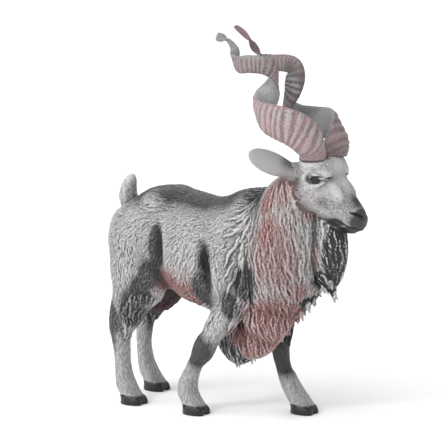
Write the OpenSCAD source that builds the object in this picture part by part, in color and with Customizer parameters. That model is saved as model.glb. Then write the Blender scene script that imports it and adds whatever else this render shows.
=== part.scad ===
// Hand-painted moulded figurine of a markhor, a wild goat with corkscrew horns.
// It is an assembly of solid mouldings, glued peg into socket.
// +X is the way the goat faces, +Y is its left side, and it stands on Z = 0.

/* [Body] */
// Width of the barrel at the ribs
body_w = 28; // [25:0.5:30]
// Width of the rump over the thighs
rump_w = 25; // [22:0.5:27]
// Thickness of the hanging breast fringe between the forelegs
fringe_w = 10; // [6:0.5:10]

/* [Stance] */
// Distance between the centre lines of the right and left hooves
stance_w = 17.6; // [16.5:0.1:18.5]
// Length of a hoof's sole
hoof_l = 7.6; // [6.5:0.1:8]
// Width of a hoof's sole
hoof_w = 6.6; // [5.5:0.1:7]

/* [Head] */
// Width of the head at the eyes
head_w = 14; // [12.5:0.25:15]
// Length of an ear from its root to its tip
ear_l = 14; // [11:0.5:16]

/* [Horns] */
// Broadest width of a horn's flat band
band_w = 9; // [7.5:0.25:9.5]
// Thickness of the band against its width
band_flatness = 0.42; // [0.35:0.01:0.5]

/* [Joints] */
// Glue clearance all round a peg
glue_gap = 0.08; // [0.05:0.01:0.15]
// Radius of a leg's peg
leg_peg_r = 2; // [1.5:0.1:2.2]
// Radius of a horn's peg
horn_peg_r = 1.6; // [1.2:0.1:1.8]

/* [Hidden] */

coat = [0.66, 0.66, 0.66];
ruff_brown = [0.58, 0.44, 0.42];
dark_hair = [0.26, 0.25, 0.25];
horn_pink = [0.62, 0.52, 0.51];

right = -1;
left = 1;
half_stance = stance_w / 2;
far = 200;          // reach of a cutting block
fore_cut_z = 28;    // the forelegs and the breast fringe meet the trunk here
hind_cut_z = 34;    // the hind legs meet the trunk here
neck_cut_x = 12;    // the ruff meets the trunk here
beard_cut_x = 27;   // the beard meets the ruff here
brisket_x = -8;     // the flat under the breast starts here
horn_seat_z = 74;   // the horns stand on the skull here
tail_seat_z = 54.5; // the tail stands on the rump here

// ---- Curves and skins -------------------------------------------------

// A smooth value at share t between b and c, with a and d as their outer neighbours.
function between(a, b, c, d, t) =
    0.5 * (2 * b + (c - a) * t + (2 * a - 5 * b + 4 * c - d) * t * t + (3 * b - a - 3 * c + d) * t * t * t);

// The stations with steps - 1 smooth ones put in between each pair.
function refine(stations, steps) =
    let (last = len(stations) - 1)
    [for (i = [0:last - 1], k = [0:steps - 1])
        between(stations[max(i - 1, 0)], stations[i], stations[i + 1], stations[min(i + 2, last)], k / steps),
     stations[last]];

// A ring of n points round centre c, u and v being its half axes.
function oval(c, u, v, n) = [for (i = [0:n - 1]) c + u * cos(360 * i / n) + v * sin(360 * i / n)];

// A closed skin over rings that run the way of u cross v.
module skin(rings) {
    n = len(rings[0]);
    m = len(rings);
    walls = [for (j = [0:m - 2], i = [0:n - 1])
        let (a = j * n + i, b = j * n + (i + 1) % n, c = b + n, d = a + n)
        each [[a, c, b], [a, d, c]]];
    start_cap = [for (i = [0:n - 1]) i];
    end_cap = [for (i = [n - 1:-1:0]) (m - 1) * n + i];
    polyhedron([for (r = rings) each r], concat(walls, [start_cap, end_cap]), convexity = 6);
}

// Level ovals stacked upwards. A station is [x, y, z, half length, half width].
module stacked(stations, steps, sides) {
    skin([for (s = refine(stations, steps))
        oval([s[0], s[1], s[2]], [s[3], 0, 0], [0, s[4], 0], sides)]);
}

// Upright ovals strung along X. A station is [x, top z, bottom z, half width].
module strung(stations, steps, sides) {
    skin([for (s = refine(stations, steps))
        oval([s[0], 0, (s[1] + s[2]) / 2], [0, s[3], 0], [0, 0, (s[1] - s[2]) / 2], sides)]);
}

// A D-shaped peg that stands on Z = 0, so that a piece can't turn in its socket.
module peg(r, h) {
    difference() {
        cylinder(r = r, h = h, $fn = 48);
        translate([0.6 * r, -far / 2, -1]) cube([far, far, h + 2]);
    }
}

module socket(r, h) {
    peg(r + glue_gap, h + 2 * glue_gap);
}

// ---- Trunk --------------------------------------------------------------

trunk_stations = [
    [-39.2, 50, 45, 2.5], [-38.2, 54, 40, 0.6 * rump_w / 2], [-35, 57.2, 36, 0.88 * rump_w / 2],
    [-29, 60.6, 34, rump_w / 2], [-21.5, 62, 33, rump_w / 2], [-14, 61.2, 31, 0.95 * body_w / 2],
    [-7, 60.2, 28.8, body_w / 2], [0, 61.8, 27, body_w / 2], [7, 63.6, 26, 0.95 * body_w / 2],
    [neck_cut_x, 63.5, 26, 0.86 * body_w / 2]];

// A leg is one list of stations from its sole to the inside of the trunk, and the station
// that lies on the cut is shared by the leg and by its stump on the trunk.
function hoof(x, y) = [
    [x, y, 0, hoof_l / 2, hoof_w / 2],
    [x - 0.2, y, 1.8, 0.94 * hoof_l / 2, 0.95 * hoof_w / 2]];

function foreleg_right_below() = concat(hoof(-8.2, right * half_stance), [
    [-9.4, -8.9, 3.6, 3.3, 2.9], [-10.7, -9, 6, 3.2, 2.7], [-10.8, -9, 8, 3, 2.6], [-9.4, -9, 12, 2.5, 2.3],
    [-7, -9, 16, 2.6, 2.4], [-4.2, -9, 20.6, 3.2, 2.9], [-1, -9, 24.4, 3.9, 3.2], [1.6, -9, fore_cut_z, 4.6, 3.7]]);
function foreleg_left_below() = concat(hoof(16.4, left * half_stance), [
    [14.9, 8.9, 3.8, 3.4, 2.9], [13, 9, 6, 3.3, 2.8], [11.6, 9, 8.2, 3, 2.6], [10.2, 9, 11, 2.6, 2.4],
    [9, 9, 14.5, 2.5, 2.3], [8.3, 9, 19, 3.1, 2.9], [8.4, 9, 23.5, 3.5, 3.2], [8.2, 9, fore_cut_z, 4.1, 3.6]]);
function hindleg_right_below() = concat(hoof(-29.8, right * half_stance), [
    [-31.2, -8.9, 3.6, 3.2, 2.9], [-32.3, -9, 6, 3.2, 2.7], [-32.9, -9.1, 8.6, 2.6, 2.4], [-33.3, -9.2, 13, 2.4, 2.2],
    [-33.6, -9.3, 17.6, 2.8, 2.4], [-33.9, -9.3, 21.6, 3.6, 2.9], [-32, -9.2, 26, 5.2, 3.7],
    [-29.4, -9, 30, 7, 4.5], [-28, -8.6, hind_cut_z, 8.2, 5]]);
function hindleg_left_below() = concat(hoof(-34.6, left * half_stance), [
    [-35.9, 8.9, 3.6, 3.2, 2.9], [-37.5, 9, 6, 3.1, 2.7], [-38.5, 9.1, 8.6, 2.5, 2.4], [-39.2, 9.2, 12.6, 2.3, 2.2],
    [-39.2, 9.3, 16.6, 2.4, 2.4], [-38.6, 9.3, 20.8, 3.1, 2.9], [-35.6, 9.2, 26, 5.1, 3.7],
    [-31.4, 9, 30, 6.8, 4.5], [-29, 8.6, hind_cut_z, 8.2, 5]]);

function foreleg_above(side, x) = [
    [x, side * 8.6, 31.5, 5, 3.9], [x + 1.5, side * 7.6, 37, 6, 4], [x + 2, side * 6, 43, 4, 3]];
function hindleg_above(x) = [[x, 8, 39, 9, 5], [x - 0.5, 6.6, 45, 8.4, 5], [x - 0.5, 5, 50, 5, 4]];

function mirrored(stations) = [for (s = stations) [s[0], -s[1], s[2], s[3], s[4]]];
function last(list) = list[len(list) - 1];

module stump(below, above) {
    stacked(concat([last(below)], above), 2, 20);
}

// Where each leg's peg goes, as [x, y, z, radius, length].
leg_pegs = [
    [last(foreleg_right_below()), leg_peg_r, 6], [last(foreleg_left_below()), leg_peg_r, 6],
    [last(hindleg_right_below()), 1.2 * leg_peg_r, 7], [last(hindleg_left_below()), 1.2 * leg_peg_r, 7]];

module leg(below, which) {
    p = leg_pegs[which];
    front = below[0][0] + below[0][3];
    difference() {
        stacked(below, 2, 20);
        // the cleft at the front of the hoof
        translate([front - 1.6, below[0][1] - 0.35, -1]) cube([4, 0.7, 3.4]);
    }
    translate([p[0][0], p[0][1], p[0][2] - 0.5]) peg(p[1], p[2] + 0.5);
}

module torso() {
    color(coat) difference() {
        union() {
            strung(trunk_stations, 3, 28);
            stump(foreleg_right_below(), foreleg_above(right, 3));
            stump(foreleg_left_below(), foreleg_above(left, 8.5));
            stump(hindleg_right_below(), mirrored(hindleg_above(-28)));
            stump(hindleg_left_below(), hindleg_above(-28.6));
        }
        translate([brisket_x, -far / 2, fore_cut_z - far]) cube(far);
        translate([neck_cut_x, -far / 2, 0]) cube(far);
        for (p = leg_pegs) translate([p[0][0], p[0][1], p[0][2] - 1]) socket(p[1], p[2] + 1);
        tail_seat();
        translate([0, 0, tail_seat_z - tail_peg_l]) tail_place() socket(tail_peg_r, 2 * tail_peg_l);
        neck_tenon(glue_gap);
    }
}

// ---- Tail ---------------------------------------------------------------

tail_peg_r = 1.2;
tail_peg_l = 3.5;
tail_stations = [
    [-37.4, 0, tail_seat_z, 2.1, 2.2], [-37.9, 0, 57, 2.7, 2.7], [-37.8, 0, 60, 2.4, 2.5],
    [-37, 0, 62.6, 1.8, 2.1], [-36.4, 0, 64.2, 1, 1.2], [-36.2, 0, 64.8, 0.3, 0.4]];
module tail_place() {
    translate([tail_stations[0][0], 0, 0]) children();
}
module tail_seat() {
    s = tail_stations[0];
    translate([0, 0, tail_seat_z]) linear_extrude(8)
        polygon([for (q = oval([s[0], 0, 0], [s[3] + 0.6, 0, 0], [0, s[4] + 0.5, 0], 16)) [q[0], q[1]]]);
}
module tail() {
    color(coat) {
        stacked(tail_stations, 2, 16);
        tail_place() translate([0, 0, tail_seat_z - tail_peg_l]) peg(tail_peg_r, tail_peg_l + 0.5);
    }
}

// ---- Neck with its ruff and the breast fringe ---------------------------

ruff_stations = [
    [0.8, 0, 13.6, 1, 0.8], [0.6, 0, 15.4, 4, 0.5 * fringe_w / 2], [1.2, 0, 19, 7.6, 0.8 * fringe_w / 2],
    [3.8, 0, 23.5, 10.2, 0.96 * fringe_w / 2], [6.6, 0, fore_cut_z, 11.8, fringe_w / 2],
    [11.2, 0, 33, 12.2, 10.4], [14.2, 0, 38.5, 12.2, 12.4], [15.6, 0, 45, 12.4, 12.6], [16.6, 0, 52, 11.8, 11.6],
    [17.8, 0, 59, 10.8, 9.8], [20, 0, 64.5, 9, 8.2], [22.4, 0, 69, 6.6, 6.4], [23.6, 0, 72.6, 3.6, 3.6]];

// The head's place: it meets the neck along the steep line and the beard along the shallow one.
throat = [26.6, 60.2];
module head_room() {
    rotate([90, 0, 0]) linear_extrude(far, center = true)
        polygon([throat, throat + [-9.3, 20], throat + [40, 40], throat + [30, -20]]);
}

neck_tenon_w = 8;
neck_tenon_l = 7;
module neck_tenon(gap) {
    translate([neck_cut_x - neck_tenon_l - gap, -neck_tenon_w / 2 - gap, 42 - gap])
        cube([neck_tenon_l + 2 * gap + 1, neck_tenon_w + 2 * gap, neck_tenon_w + 2 * gap]);
}

head_tenon_w = 5;
head_tenon_l = 6;
module head_tenon(gap) {
    translate([throat[0] - 3.4, 0, throat[1] + 7.3]) rotate([0, -115, 0])
        translate([-head_tenon_w / 2 - gap, -head_tenon_w / 2 - gap, -1])
            cube([head_tenon_w + 2 * gap, head_tenon_w + 2 * gap, head_tenon_l + gap + 1]);
}

beard_peg_r = 1.5;
beard_peg_l = 4;
module beard_place() {
    translate([beard_cut_x, 0, 48]) rotate([0, -90, 0]) children();
}

module neck_ruff() {
    color(ruff_brown) {
        difference() {
            stacked(ruff_stations, 2, 28);
            translate([neck_cut_x - far, -far / 2, fore_cut_z]) cube(far);
            translate([beard_cut_x, -far / 2, -1]) cube(far);
            head_room();
            head_tenon(glue_gap);
            beard_place() translate([0, 0, -1]) socket(beard_peg_r, beard_peg_l + 1);
        }
        neck_tenon(0);
    }
}

// ---- Beard --------------------------------------------------------------

beard_stations = [
    [29.6, 0, 36.8, 0.8, 0.6], [29.8, 0, 38.8, 3, 1.8], [30, 0, 43, 4.4, 3.6], [30.2, 0, 48, 4.9, 4.4],
    [30.2, 0, 53, 4.8, 4.2], [30, 0, 59, 4.4, 3.6]];
module beard() {
    color(dark_hair) {
        difference() {
            stacked(beard_stations, 3, 20);
            translate([beard_cut_x - far, -far / 2, -1]) cube(far);
            head_room();
        }
        beard_place() translate([0, 0, -0.5]) peg(beard_peg_r, beard_peg_l + 0.5);
    }
}

// ---- Head ---------------------------------------------------------------

// A station is [x, z, half height, half width], square to the line of the face.
face_slope = [0.467, 0, 0.884];
head_stations = [
    [18.6, 68.4, 5.4, 0.7 * head_w / 2], [21, 67.8, 7, 0.84 * head_w / 2], [24.6, 66.2, 7.8, 0.98 * head_w / 2],
    [28.4, 64.6, 7.6, head_w / 2], [32, 62, 6.4, 0.78 * head_w / 2], [35.2, 59.6, 5, 0.58 * head_w / 2],
    [37.8, 57.9, 4.1, 0.5 * head_w / 2], [39.6, 57, 3.2, 0.44 * head_w / 2], [40.8, 56.6, 1.6, 0.24 * head_w / 2]];

eye = [29.8, 6, 68.4];
eye_r = 1.5;

// What is made for the right side, and its mirror image on the left.
module both_sides() {
    children();
    mirror([0, 1, 0]) children();
}

module head() {
    color(coat) {
        difference() {
            union() {
                intersection() {
                    skin([for (s = refine(head_stations, 3))
                        oval([s[0], 0, s[1]], [0, s[3], 0], face_slope * s[2], 24)]);
                    head_room();
                }
                both_sides() {
                    horn_stub();
                    translate([eye[0], -eye[1], eye[2]]) sphere(r = eye_r, $fn = 32);
                }
            }
            both_sides() {
                horn_seat();
                horn_peg(right) socket(horn_peg_r, horn_peg_l + 1);
                ear_place() {
                    ear_seat();
                    translate([0, 0, -ear_peg_l]) socket(ear_peg_r, ear_peg_l + 1);
                }
            }
        }
        head_tenon(0);
    }
}

// ---- Horns --------------------------------------------------------------

horn_foot = [27.4, 4.8];
horn_foot_half = [4.3, 4];
horn_peg_l = 3.5;

// A horn is a flat band that winds up a corkscrew, and the two aren't quite mirror images.
// A station is [degrees turned, x, distance from the middle plane, z, share of the band's width],
// and the band's ribbed face looks forward at 0, outward at 90, back at 180 and inward at 270.
right_horn = [
    [5, 27.2, 4.7, horn_seat_z, 0.86], [15, 27.5, 5.4, 76.4, 0.9], [45, 27.4, 8, 80, 1.02],
    [75, 25, 10.5, 82.8, 1.1], [105, 20, 11, 84.2, 1.04], [145, 15, 9.6, 85.2, 0.94], [185, 12, 7, 87, 0.84],
    [235, 12, 4, 89.6, 0.76], [290, 13.2, 2.8, 93, 0.64], [345, 14.8, 4.4, 96.6, 0.56], [400, 13.8, 7.2, 98.6, 0.54],
    [450, 9.6, 8.5, 99, 0.54], [495, 5.6, 7.8, 98.6, 0.52], [545, 2.8, 5.8, 99.8, 0.4], [610, 1.4, 3.8, 102, 0.28],
    [680, -0.6, 3.8, 104.4, 0.25], [750, -3.2, 4.8, 105.4, 0.27], [770, -3.8, 5, 105.6, 0.16]];
left_horn = [
    [-35, 27.8, 4.9, horn_seat_z, 0.86], [-30, 28.2, 5.6, 76.4, 0.86], [0, 27.6, 7.6, 79.8, 0.9],
    [50, 24, 9.8, 81.8, 0.96], [95, 19, 10.2, 82, 0.96], [140, 14, 9.2, 82.6, 0.9], [180, 12.2, 6.6, 85, 0.8],
    [225, 13.8, 4.2, 88, 0.68], [265, 16.2, 2.6, 91.4, 0.64], [285, 16.8, 3, 94.8, 0.62], [275, 15, 5.2, 97.4, 0.58],
    [272, 11, 7, 98, 0.54], [300, 6.6, 7.2, 98, 0.48], [380, 3.8, 5.8, 99.4, 0.34], [470, 2.8, 4.2, 101.8, 0.24],
    [560, 1.4, 3.7, 104.2, 0.22], [640, -1.2, 4.2, 106, 0.2], [700, -4.2, 4.8, 107.6, 0.14]];

function unit(v) = v / norm(v);

// A ring of the band round centre c, where it runs along t with its ribbed face turned to n.
function band_ring(c, t, n, half_width, half_thickness, sides) =
    let (out = unit(n - (n * t) * t), across = cross(t, out))
    oval(c, out * half_thickness, across * half_width, sides);

module horn(stations, side) {
    s = refine(stations, 4);
    top = len(s) - 1;
    centres = [for (p = s) [p[1], side * p[2], p[3]]];
    color(horn_pink) {
        skin([for (i = [0:top])
            let (ease = min(1, i / 9),
                 tangent = unit(centres[min(i + 1, top)] - centres[max(i - 1, 0)]),
                 along = unit([0, 0, 1 - ease] + ease * tangent),
                 facing = [cos(s[i][0]), side * sin(s[i][0]), 0],
                 half_width = band_w / 2 * s[i][4],
                 roundness = max(band_flatness, 0.94 - (0.94 - band_flatness) * i / 7))
            band_ring(centres[i], along, facing, half_width, half_width * roundness, 14)]);
        horn_peg(side) peg(horn_peg_r, horn_peg_l + 0.5);
    }
}

module horn_peg(side) {
    translate([horn_foot[0], side * horn_foot[1], horn_seat_z - horn_peg_l]) children();
}

// The skull rises in a stub under each horn, cut flat where the horn stands.
module horn_stub() {
    stacked([[26.6, -3.6, 64, 4.6, 3.4], [27.2, -4.4, 69, 4.4, 3.6],
             [horn_foot[0], -horn_foot[1], horn_seat_z, 3.9, 3.6]], 2, 24);
}
module horn_seat() {
    translate([horn_foot[0], -horn_foot[1], horn_seat_z]) linear_extrude(8)
        polygon([for (q = oval([0, 0, 0], [horn_foot_half[0] + 0.4, 0, 0], [0, horn_foot_half[1] + 0.4, 0], 28))
            [q[0], q[1]]]);
}

// ---- Ears ---------------------------------------------------------------

ear_root = [23, 6.2, 70.2];
ear_peg_r = 0.9;
ear_peg_l = 2.5;
// Z runs along the ear, and X across its blade.
module ear_place() {
    translate([ear_root[0], -ear_root[1], ear_root[2]])
        rotate([0, 0, -138]) rotate([0, 66, 0]) rotate([0, 0, 20]) children();
}
// A ring is at a share of the ear's length.
function ear_ring(share, half_width, half_thickness) =
    oval([0, 0, share * ear_l], [half_width, 0, 0], [0, half_thickness, 0], 16);
module ear_seat() {
    linear_extrude(6) polygon([for (q = ear_ring(0, 1.9, 1.6)) [q[0], q[1]]]);
}
module ear() {
    stations = [[0, 1.7, 1.4], [0.14, 2.3, 1.4], [0.4, 3.3, 1.1], [0.7, 3.1, 0.8], [0.92, 1.8, 0.6], [1, 0.7, 0.35]];
    color(coat) ear_place() {
        skin([for (s = refine(stations, 2)) ear_ring(s[0], s[1], s[2])]);
        translate([0, 0, -ear_peg_l]) peg(ear_peg_r, ear_peg_l + 0.5);
    }
}

torso();
neck_ruff();
beard();
head();
horn(right_horn, right);  // horn_right
horn(left_horn, left);  // horn_left
ear();  // ear_right
mirror([0, 1, 0]) ear();  // ear_left
tail();
color(coat) leg(foreleg_right_below(), 0);  // foreleg_right
color(coat) leg(foreleg_left_below(), 1);  // foreleg_left
color(coat) leg(hindleg_right_below(), 2);  // hindleg_right
color(coat) leg(hindleg_left_below(), 3);  // hindleg_left
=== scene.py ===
"""A hand-painted moulded markhor: sculpted whole, cut apart at its glue joints, then painted."""

import math

import bpy
import numpy as np
import openvdb
from bpy.props import FloatProperty, FloatVectorProperty, IntProperty, PointerProperty
from mathutils import Matrix, Vector
from mathutils.kdtree import KDTree


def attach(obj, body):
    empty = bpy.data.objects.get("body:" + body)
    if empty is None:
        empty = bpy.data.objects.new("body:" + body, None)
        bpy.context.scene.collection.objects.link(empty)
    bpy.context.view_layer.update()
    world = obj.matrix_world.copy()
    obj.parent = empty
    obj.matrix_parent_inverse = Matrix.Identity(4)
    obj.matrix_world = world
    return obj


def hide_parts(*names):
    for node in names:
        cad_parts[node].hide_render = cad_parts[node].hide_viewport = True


bl_info = {
    "name": "Painted Markhor",
    "version": (1, 0, 0),
    "blender": (4, 5, 0),
    "location": "View3D > Sidebar > Markhor",
    "description": "Sculpts, cuts apart and paints a moulded figurine of a markhor",
    "category": "Add Mesh",
}

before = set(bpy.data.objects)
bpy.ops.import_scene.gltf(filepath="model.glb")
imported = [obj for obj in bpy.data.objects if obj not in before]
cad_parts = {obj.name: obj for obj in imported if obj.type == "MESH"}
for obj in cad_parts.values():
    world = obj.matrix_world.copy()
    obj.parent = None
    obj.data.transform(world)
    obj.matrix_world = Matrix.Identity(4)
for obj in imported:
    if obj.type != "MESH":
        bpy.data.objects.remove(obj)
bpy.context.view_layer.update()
MM = 0.001  # the sculpting is in millimetres, and Blender's objects are in metres
SIDES = {"right": -1, "left": 1}
Z_UP = np.array((0.0, 0.0, 1.0))
TURN = 6.28  # a full turn, near enough for a phase


# ---- Sizes and colours a user would change -----------------------------------


def size(name, description, default, low, high):
    return FloatProperty(name=name, description=description, default=default * MM, min=low * MM,
                         max=high * MM, unit="LENGTH", precision=5)


def paint(name, description, *rgb):
    return FloatVectorProperty(name=name, description=description, default=rgb, size=3,
                               min=0, max=1, subtype="COLOR")


class MarkhorSculpt(bpy.types.PropertyGroup):
    grain: size("Grain", "Spacing of the sculpted surface's points", 0.25, 0.2, 0.5)
    lock_length: size("Lock length", "Length of a lock of the ruff", 9, 5, 12)
    lock_radius: size("Lock radius", "Radius of a lock of the ruff at its root", 0.62, 0.4, 1)
    hair_length: size("Hair length", "Length of a strand of the short coat", 2.8, 1, 5)
    hair_width: size("Hair width", "Half width of a strand of the short coat", 0.22, 0.15, 0.6)
    hair_height: size("Hair height", "How far a strand stands above the skin", 0.27, 0.05, 0.5)
    seed: IntProperty(name="Seed", description="Number that the hair's scatter starts from", default=7, min=0)


class MarkhorJoints(bpy.types.PropertyGroup):
    glue_gap: size("Glue gap", "Clearance all round a peg", 0.08, 0.05, 0.15)
    leg_peg: size("Leg peg", "Radius of a foreleg's peg", 2, 1.5, 2.2)
    horn_peg: size("Horn peg", "Radius of a horn's peg", 1.6, 1.2, 1.8)
    band_width: size("Horn width", "Broadest width of a horn's flat band", 9, 7.5, 9.5)
    ear_length: size("Ear length", "Length of an ear from its root to its tip", 14, 11, 16)


class MarkhorPaint(bpy.types.PropertyGroup):
    pale: paint("Pale coat", "Dry-brushed grey on the raised hair", 0.5, 0.5, 0.5)
    grey: paint("Grey coat", "Base grey of the short coat", 0.26, 0.257, 0.26)
    # Charcoal also paints shade: on the far horn, and in the hollows before the thigh and behind the
    # shoulder.
    charcoal: paint("Charcoal", "Wash in the grooves and along the back", 0.026, 0.025, 0.026)
    rust: paint("Rust", "Red-brown wash on the ruff", 0.2, 0.092, 0.087)
    blush: paint("Blush", "Pale pink dry-brushed on the long strands", 0.44, 0.345, 0.34)
    mauve: paint("Mauve", "Wash between the horns' growth rings", 0.17, 0.105, 0.113)
    # Maroon: the inner thighs' own colour, and painted shade there too.
    maroon: paint("Maroon", "Dark wash inside the far thigh", 0.035, 0.014, 0.018)
    black: paint("Black", "Hooves, eyes and the nose", 0.014, 0.014, 0.015)


# ---- Clay: a block of space that holds the distance to a sculpted surface ----

REACH = 3.5  # distances past this aren't followed
TINY = 1e-6  # keeps a division away from zero


class Clay:
    """A block of distances to the surface, negative inside it."""

    def __init__(self, low, high, grain):
        self.grain = grain
        self.first = np.floor(np.array(low) / grain).astype(int)
        last = np.ceil(np.array(high) / grain).astype(int)
        self.depth = np.full(last - self.first + 1, REACH, np.float32)

    def corner(self):
        return tuple(int(i) for i in self.first)

    def add_solid(self, mesh):
        """Fills the clay where a closed CAD mesh is."""
        mesh.calc_loop_triangles()
        points = read_all(mesh.vertices, "co", 3) / MM
        triangles = read_all(mesh.loop_triangles, "vertices", 3, np.int32)
        grid = openvdb.FloatGrid.createLevelSetFromPolygons(
            points, triangles=triangles, transform=openvdb.createLinearTransform(self.grain),
            halfWidth=REACH / self.grain)
        solid = np.empty_like(self.depth)
        grid.copyToArray(solid, ijk=self.corner())
        np.minimum(self.depth, solid, out=self.depth)

    def window(self, low, high):
        """The part of the block between two corners, as slices and as places along its three axes."""
        start = np.clip(np.floor(low / self.grain).astype(int) - self.first, 0, None)
        stop = np.minimum(np.ceil(high / self.grain).astype(int) - self.first + 1, self.depth.shape)
        if (start >= stop).any():
            return None, None
        steps = [self.first[axis] + np.arange(start[axis], stop[axis]) for axis in range(3)]
        places = [(along * self.grain).astype(np.float32) for along in steps]
        return tuple(map(slice, start, stop)), np.meshgrid(*places, indexing="ij", sparse=True)

    def merge(self, where, distance, blend, carve=False):
        """Adds a shape to the clay, or carves it out, with a soft edge of the given size."""
        old = self.depth[where]
        if carve:
            mix = np.clip(0.5 - 0.5 * (old + distance) / blend, 0, 1)
            self.depth[where] = old + (-distance - old) * mix + blend * mix * (1 - mix)
        else:
            mix = np.clip(0.5 + 0.5 * (old - distance) / blend, 0, 1)
            self.depth[where] = old + (distance - old) * mix - blend * mix * (1 - mix)

    def egg(self, centre, radii, pitch=0, blend=1.5, carve=False):
        """An ellipsoid tipped nose up by pitch degrees."""
        centre, radii = np.array(centre, float), np.array(radii, float)
        where, xyz = self.window(centre - radii.max() - blend - 1, centre + radii.max() + blend + 1)
        x, y, z = (a - c for a, c in zip(xyz, centre))
        c, s = math.cos(math.radians(pitch)), math.sin(math.radians(pitch))
        u, v, w = (x * c + z * s) / radii[0], y / radii[1], (z * c - x * s) / radii[2]
        near = np.sqrt(u * u + v * v + w * w) + TINY
        steep = np.sqrt((u / radii[0]) ** 2 + (v / radii[1]) ** 2 + (w / radii[2]) ** 2) + TINY
        self.merge(where, near * (near - 1) / steep, blend, carve)

    def rope(self, points, radii, blend=0.3, carve=False):
        """A rope through points, with its own radius at each."""
        points = np.array(points, float)
        for a, b, r0, r1 in zip(points, points[1:], radii, radii[1:]):
            room = max(r0, r1) + blend + 2 * self.grain
            where, xyz = self.window(np.minimum(a, b) - room, np.maximum(a, b) + room)
            if where is None:
                continue
            ab = b - a
            x, y, z = (g - p for g, p in zip(xyz, a))
            along = np.clip((x * ab[0] + y * ab[1] + z * ab[2]) / (ab @ ab + 1e-9), 0, 1)
            gap = np.sqrt((x - along * ab[0]) ** 2 + (y - along * ab[1]) ** 2 + (z - along * ab[2]) ** 2)
            self.merge(where, gap - (r0 + (r1 - r0) * along), blend, carve)

    def soften(self, passes):
        """Rounds the clay off."""
        self.depth = softened(self.depth, passes)

    def finer(self):
        """The same clay at half the grain."""
        new = Clay((0, 0, 0), (0, 0, 0), self.grain / 2)
        new.first = self.first * 2
        shape = np.array(self.depth.shape) * 2 - 1
        block = self.depth
        for axis in range(3):
            block = np.moveaxis(block, axis, 0)
            wide = np.empty((shape[axis],) + block.shape[1:], np.float32)
            wide[::2] = block
            wide[1::2] = (block[:-1] + block[1:]) / 2
            block = np.moveaxis(wide, 0, axis)
        new.depth = softened(np.ascontiguousarray(block), 1)
        return new

    def surface(self):
        """The clay's skin as points and quads."""
        grid = openvdb.FloatGrid(REACH)
        block = np.ascontiguousarray(np.clip(self.depth, -REACH, REACH))
        grid.copyFromArray(block, ijk=self.corner(), tolerance=0.0)
        grid.gridClass = openvdb.GridClass.LEVEL_SET
        grid.transform = openvdb.createLinearTransform(self.grain)
        points, quads = grid.convertToQuads(isovalue=0.0)
        return points.astype(float), quads.astype(np.int64)


def softened(block, passes):
    """A block of numbers after being averaged with its neighbours a number of times."""
    for _ in range(passes):
        for axis in range(3):
            rows = np.moveaxis(block, axis, 0)
            smooth = rows.copy()
            smooth[1:-1] = 0.25 * rows[:-2] + 0.5 * rows[1:-1] + 0.25 * rows[2:]
            block = np.moveaxis(smooth, 0, axis)
    return block


# ---- Small sums ---------------------------------------------------------------


def unit(v):
    """Directions of length 1."""
    return v / (np.linalg.norm(v, axis=-1, keepdims=True) + 1e-12)


def rise(low, high, value):
    """0 below low and 1 above high, with a smooth step between."""
    t = np.clip((value - low) / (high - low), 0, 1)
    return t * t * (3 - 2 * t)


def quad_normals(points, quads):
    """A normal for each point, from the quads round it."""
    a, b, c, d = (points[quads[:, corner]] for corner in range(4))
    face = np.cross(c - a, d - b)
    total = np.zeros_like(points)
    for corner in range(4):
        np.add.at(total, quads[:, corner], face)
    return unit(total)


def ripple(points, wavelength, seed):
    """Smooth noise between about -1 and 1."""
    rng = np.random.default_rng(seed)
    waves, highest = 6, 2.6
    ways = unit(rng.normal(size=(waves, 3))) * (2 * math.pi / wavelength) * rng.uniform(0.7, 1.4, (waves, 1))
    return np.sin(points @ ways.T + rng.uniform(0, TURN, waves)).sum(-1) / highest


def smoothed(points, quads, passes):
    """The points after being drawn towards their neighbours a number of times."""
    ends = np.concatenate([quads, np.roll(quads, 1, 1)]).ravel()
    others = np.concatenate([np.roll(quads, 1, 1), quads]).ravel()
    count = np.maximum(np.bincount(ends, minlength=len(points)), 1)
    for _ in range(passes):
        points = np.stack([np.bincount(ends, points[others, k], len(points)) / count for k in range(3)], 1)
    return points


def tree_of(points):
    """The points in a tree that finds the nearest one."""
    tree = KDTree(len(points))
    for i, p in enumerate(points):
        tree.insert(p, i)
    tree.balance()
    return tree


def refine(stations, steps):
    """The stations, with smooth ones put in between on a Catmull-Rom curve."""
    s = np.array(stations, float)
    s = np.vstack([s[0], s, s[-1]])
    t = (np.arange(steps) / steps)[:, None]
    out = [0.5 * (2 * b + (c - a) * t + (2 * a - 5 * b + 4 * c - d) * t**2 + (3 * b - a - 3 * c + d) * t**3)
           for a, b, c, d in zip(s, s[1:], s[2:], s[3:])]
    return np.vstack(out + [s[-1:]])


# ---- The goat's own shape -----------------------------------------------------

# Where each hoof stands, as x and y.
HOOVES = {"foreleg_right": (-8.2, -8.8), "foreleg_left": (16.4, 8.8),
          "hindleg_right": (-29.8, -8.8), "hindleg_left": (-34.6, 8.8)}
LEGS = tuple(HOOVES)
BODY_NODES = ("torso", "neck_ruff", "beard", "head", "tail", *LEGS)
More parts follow.
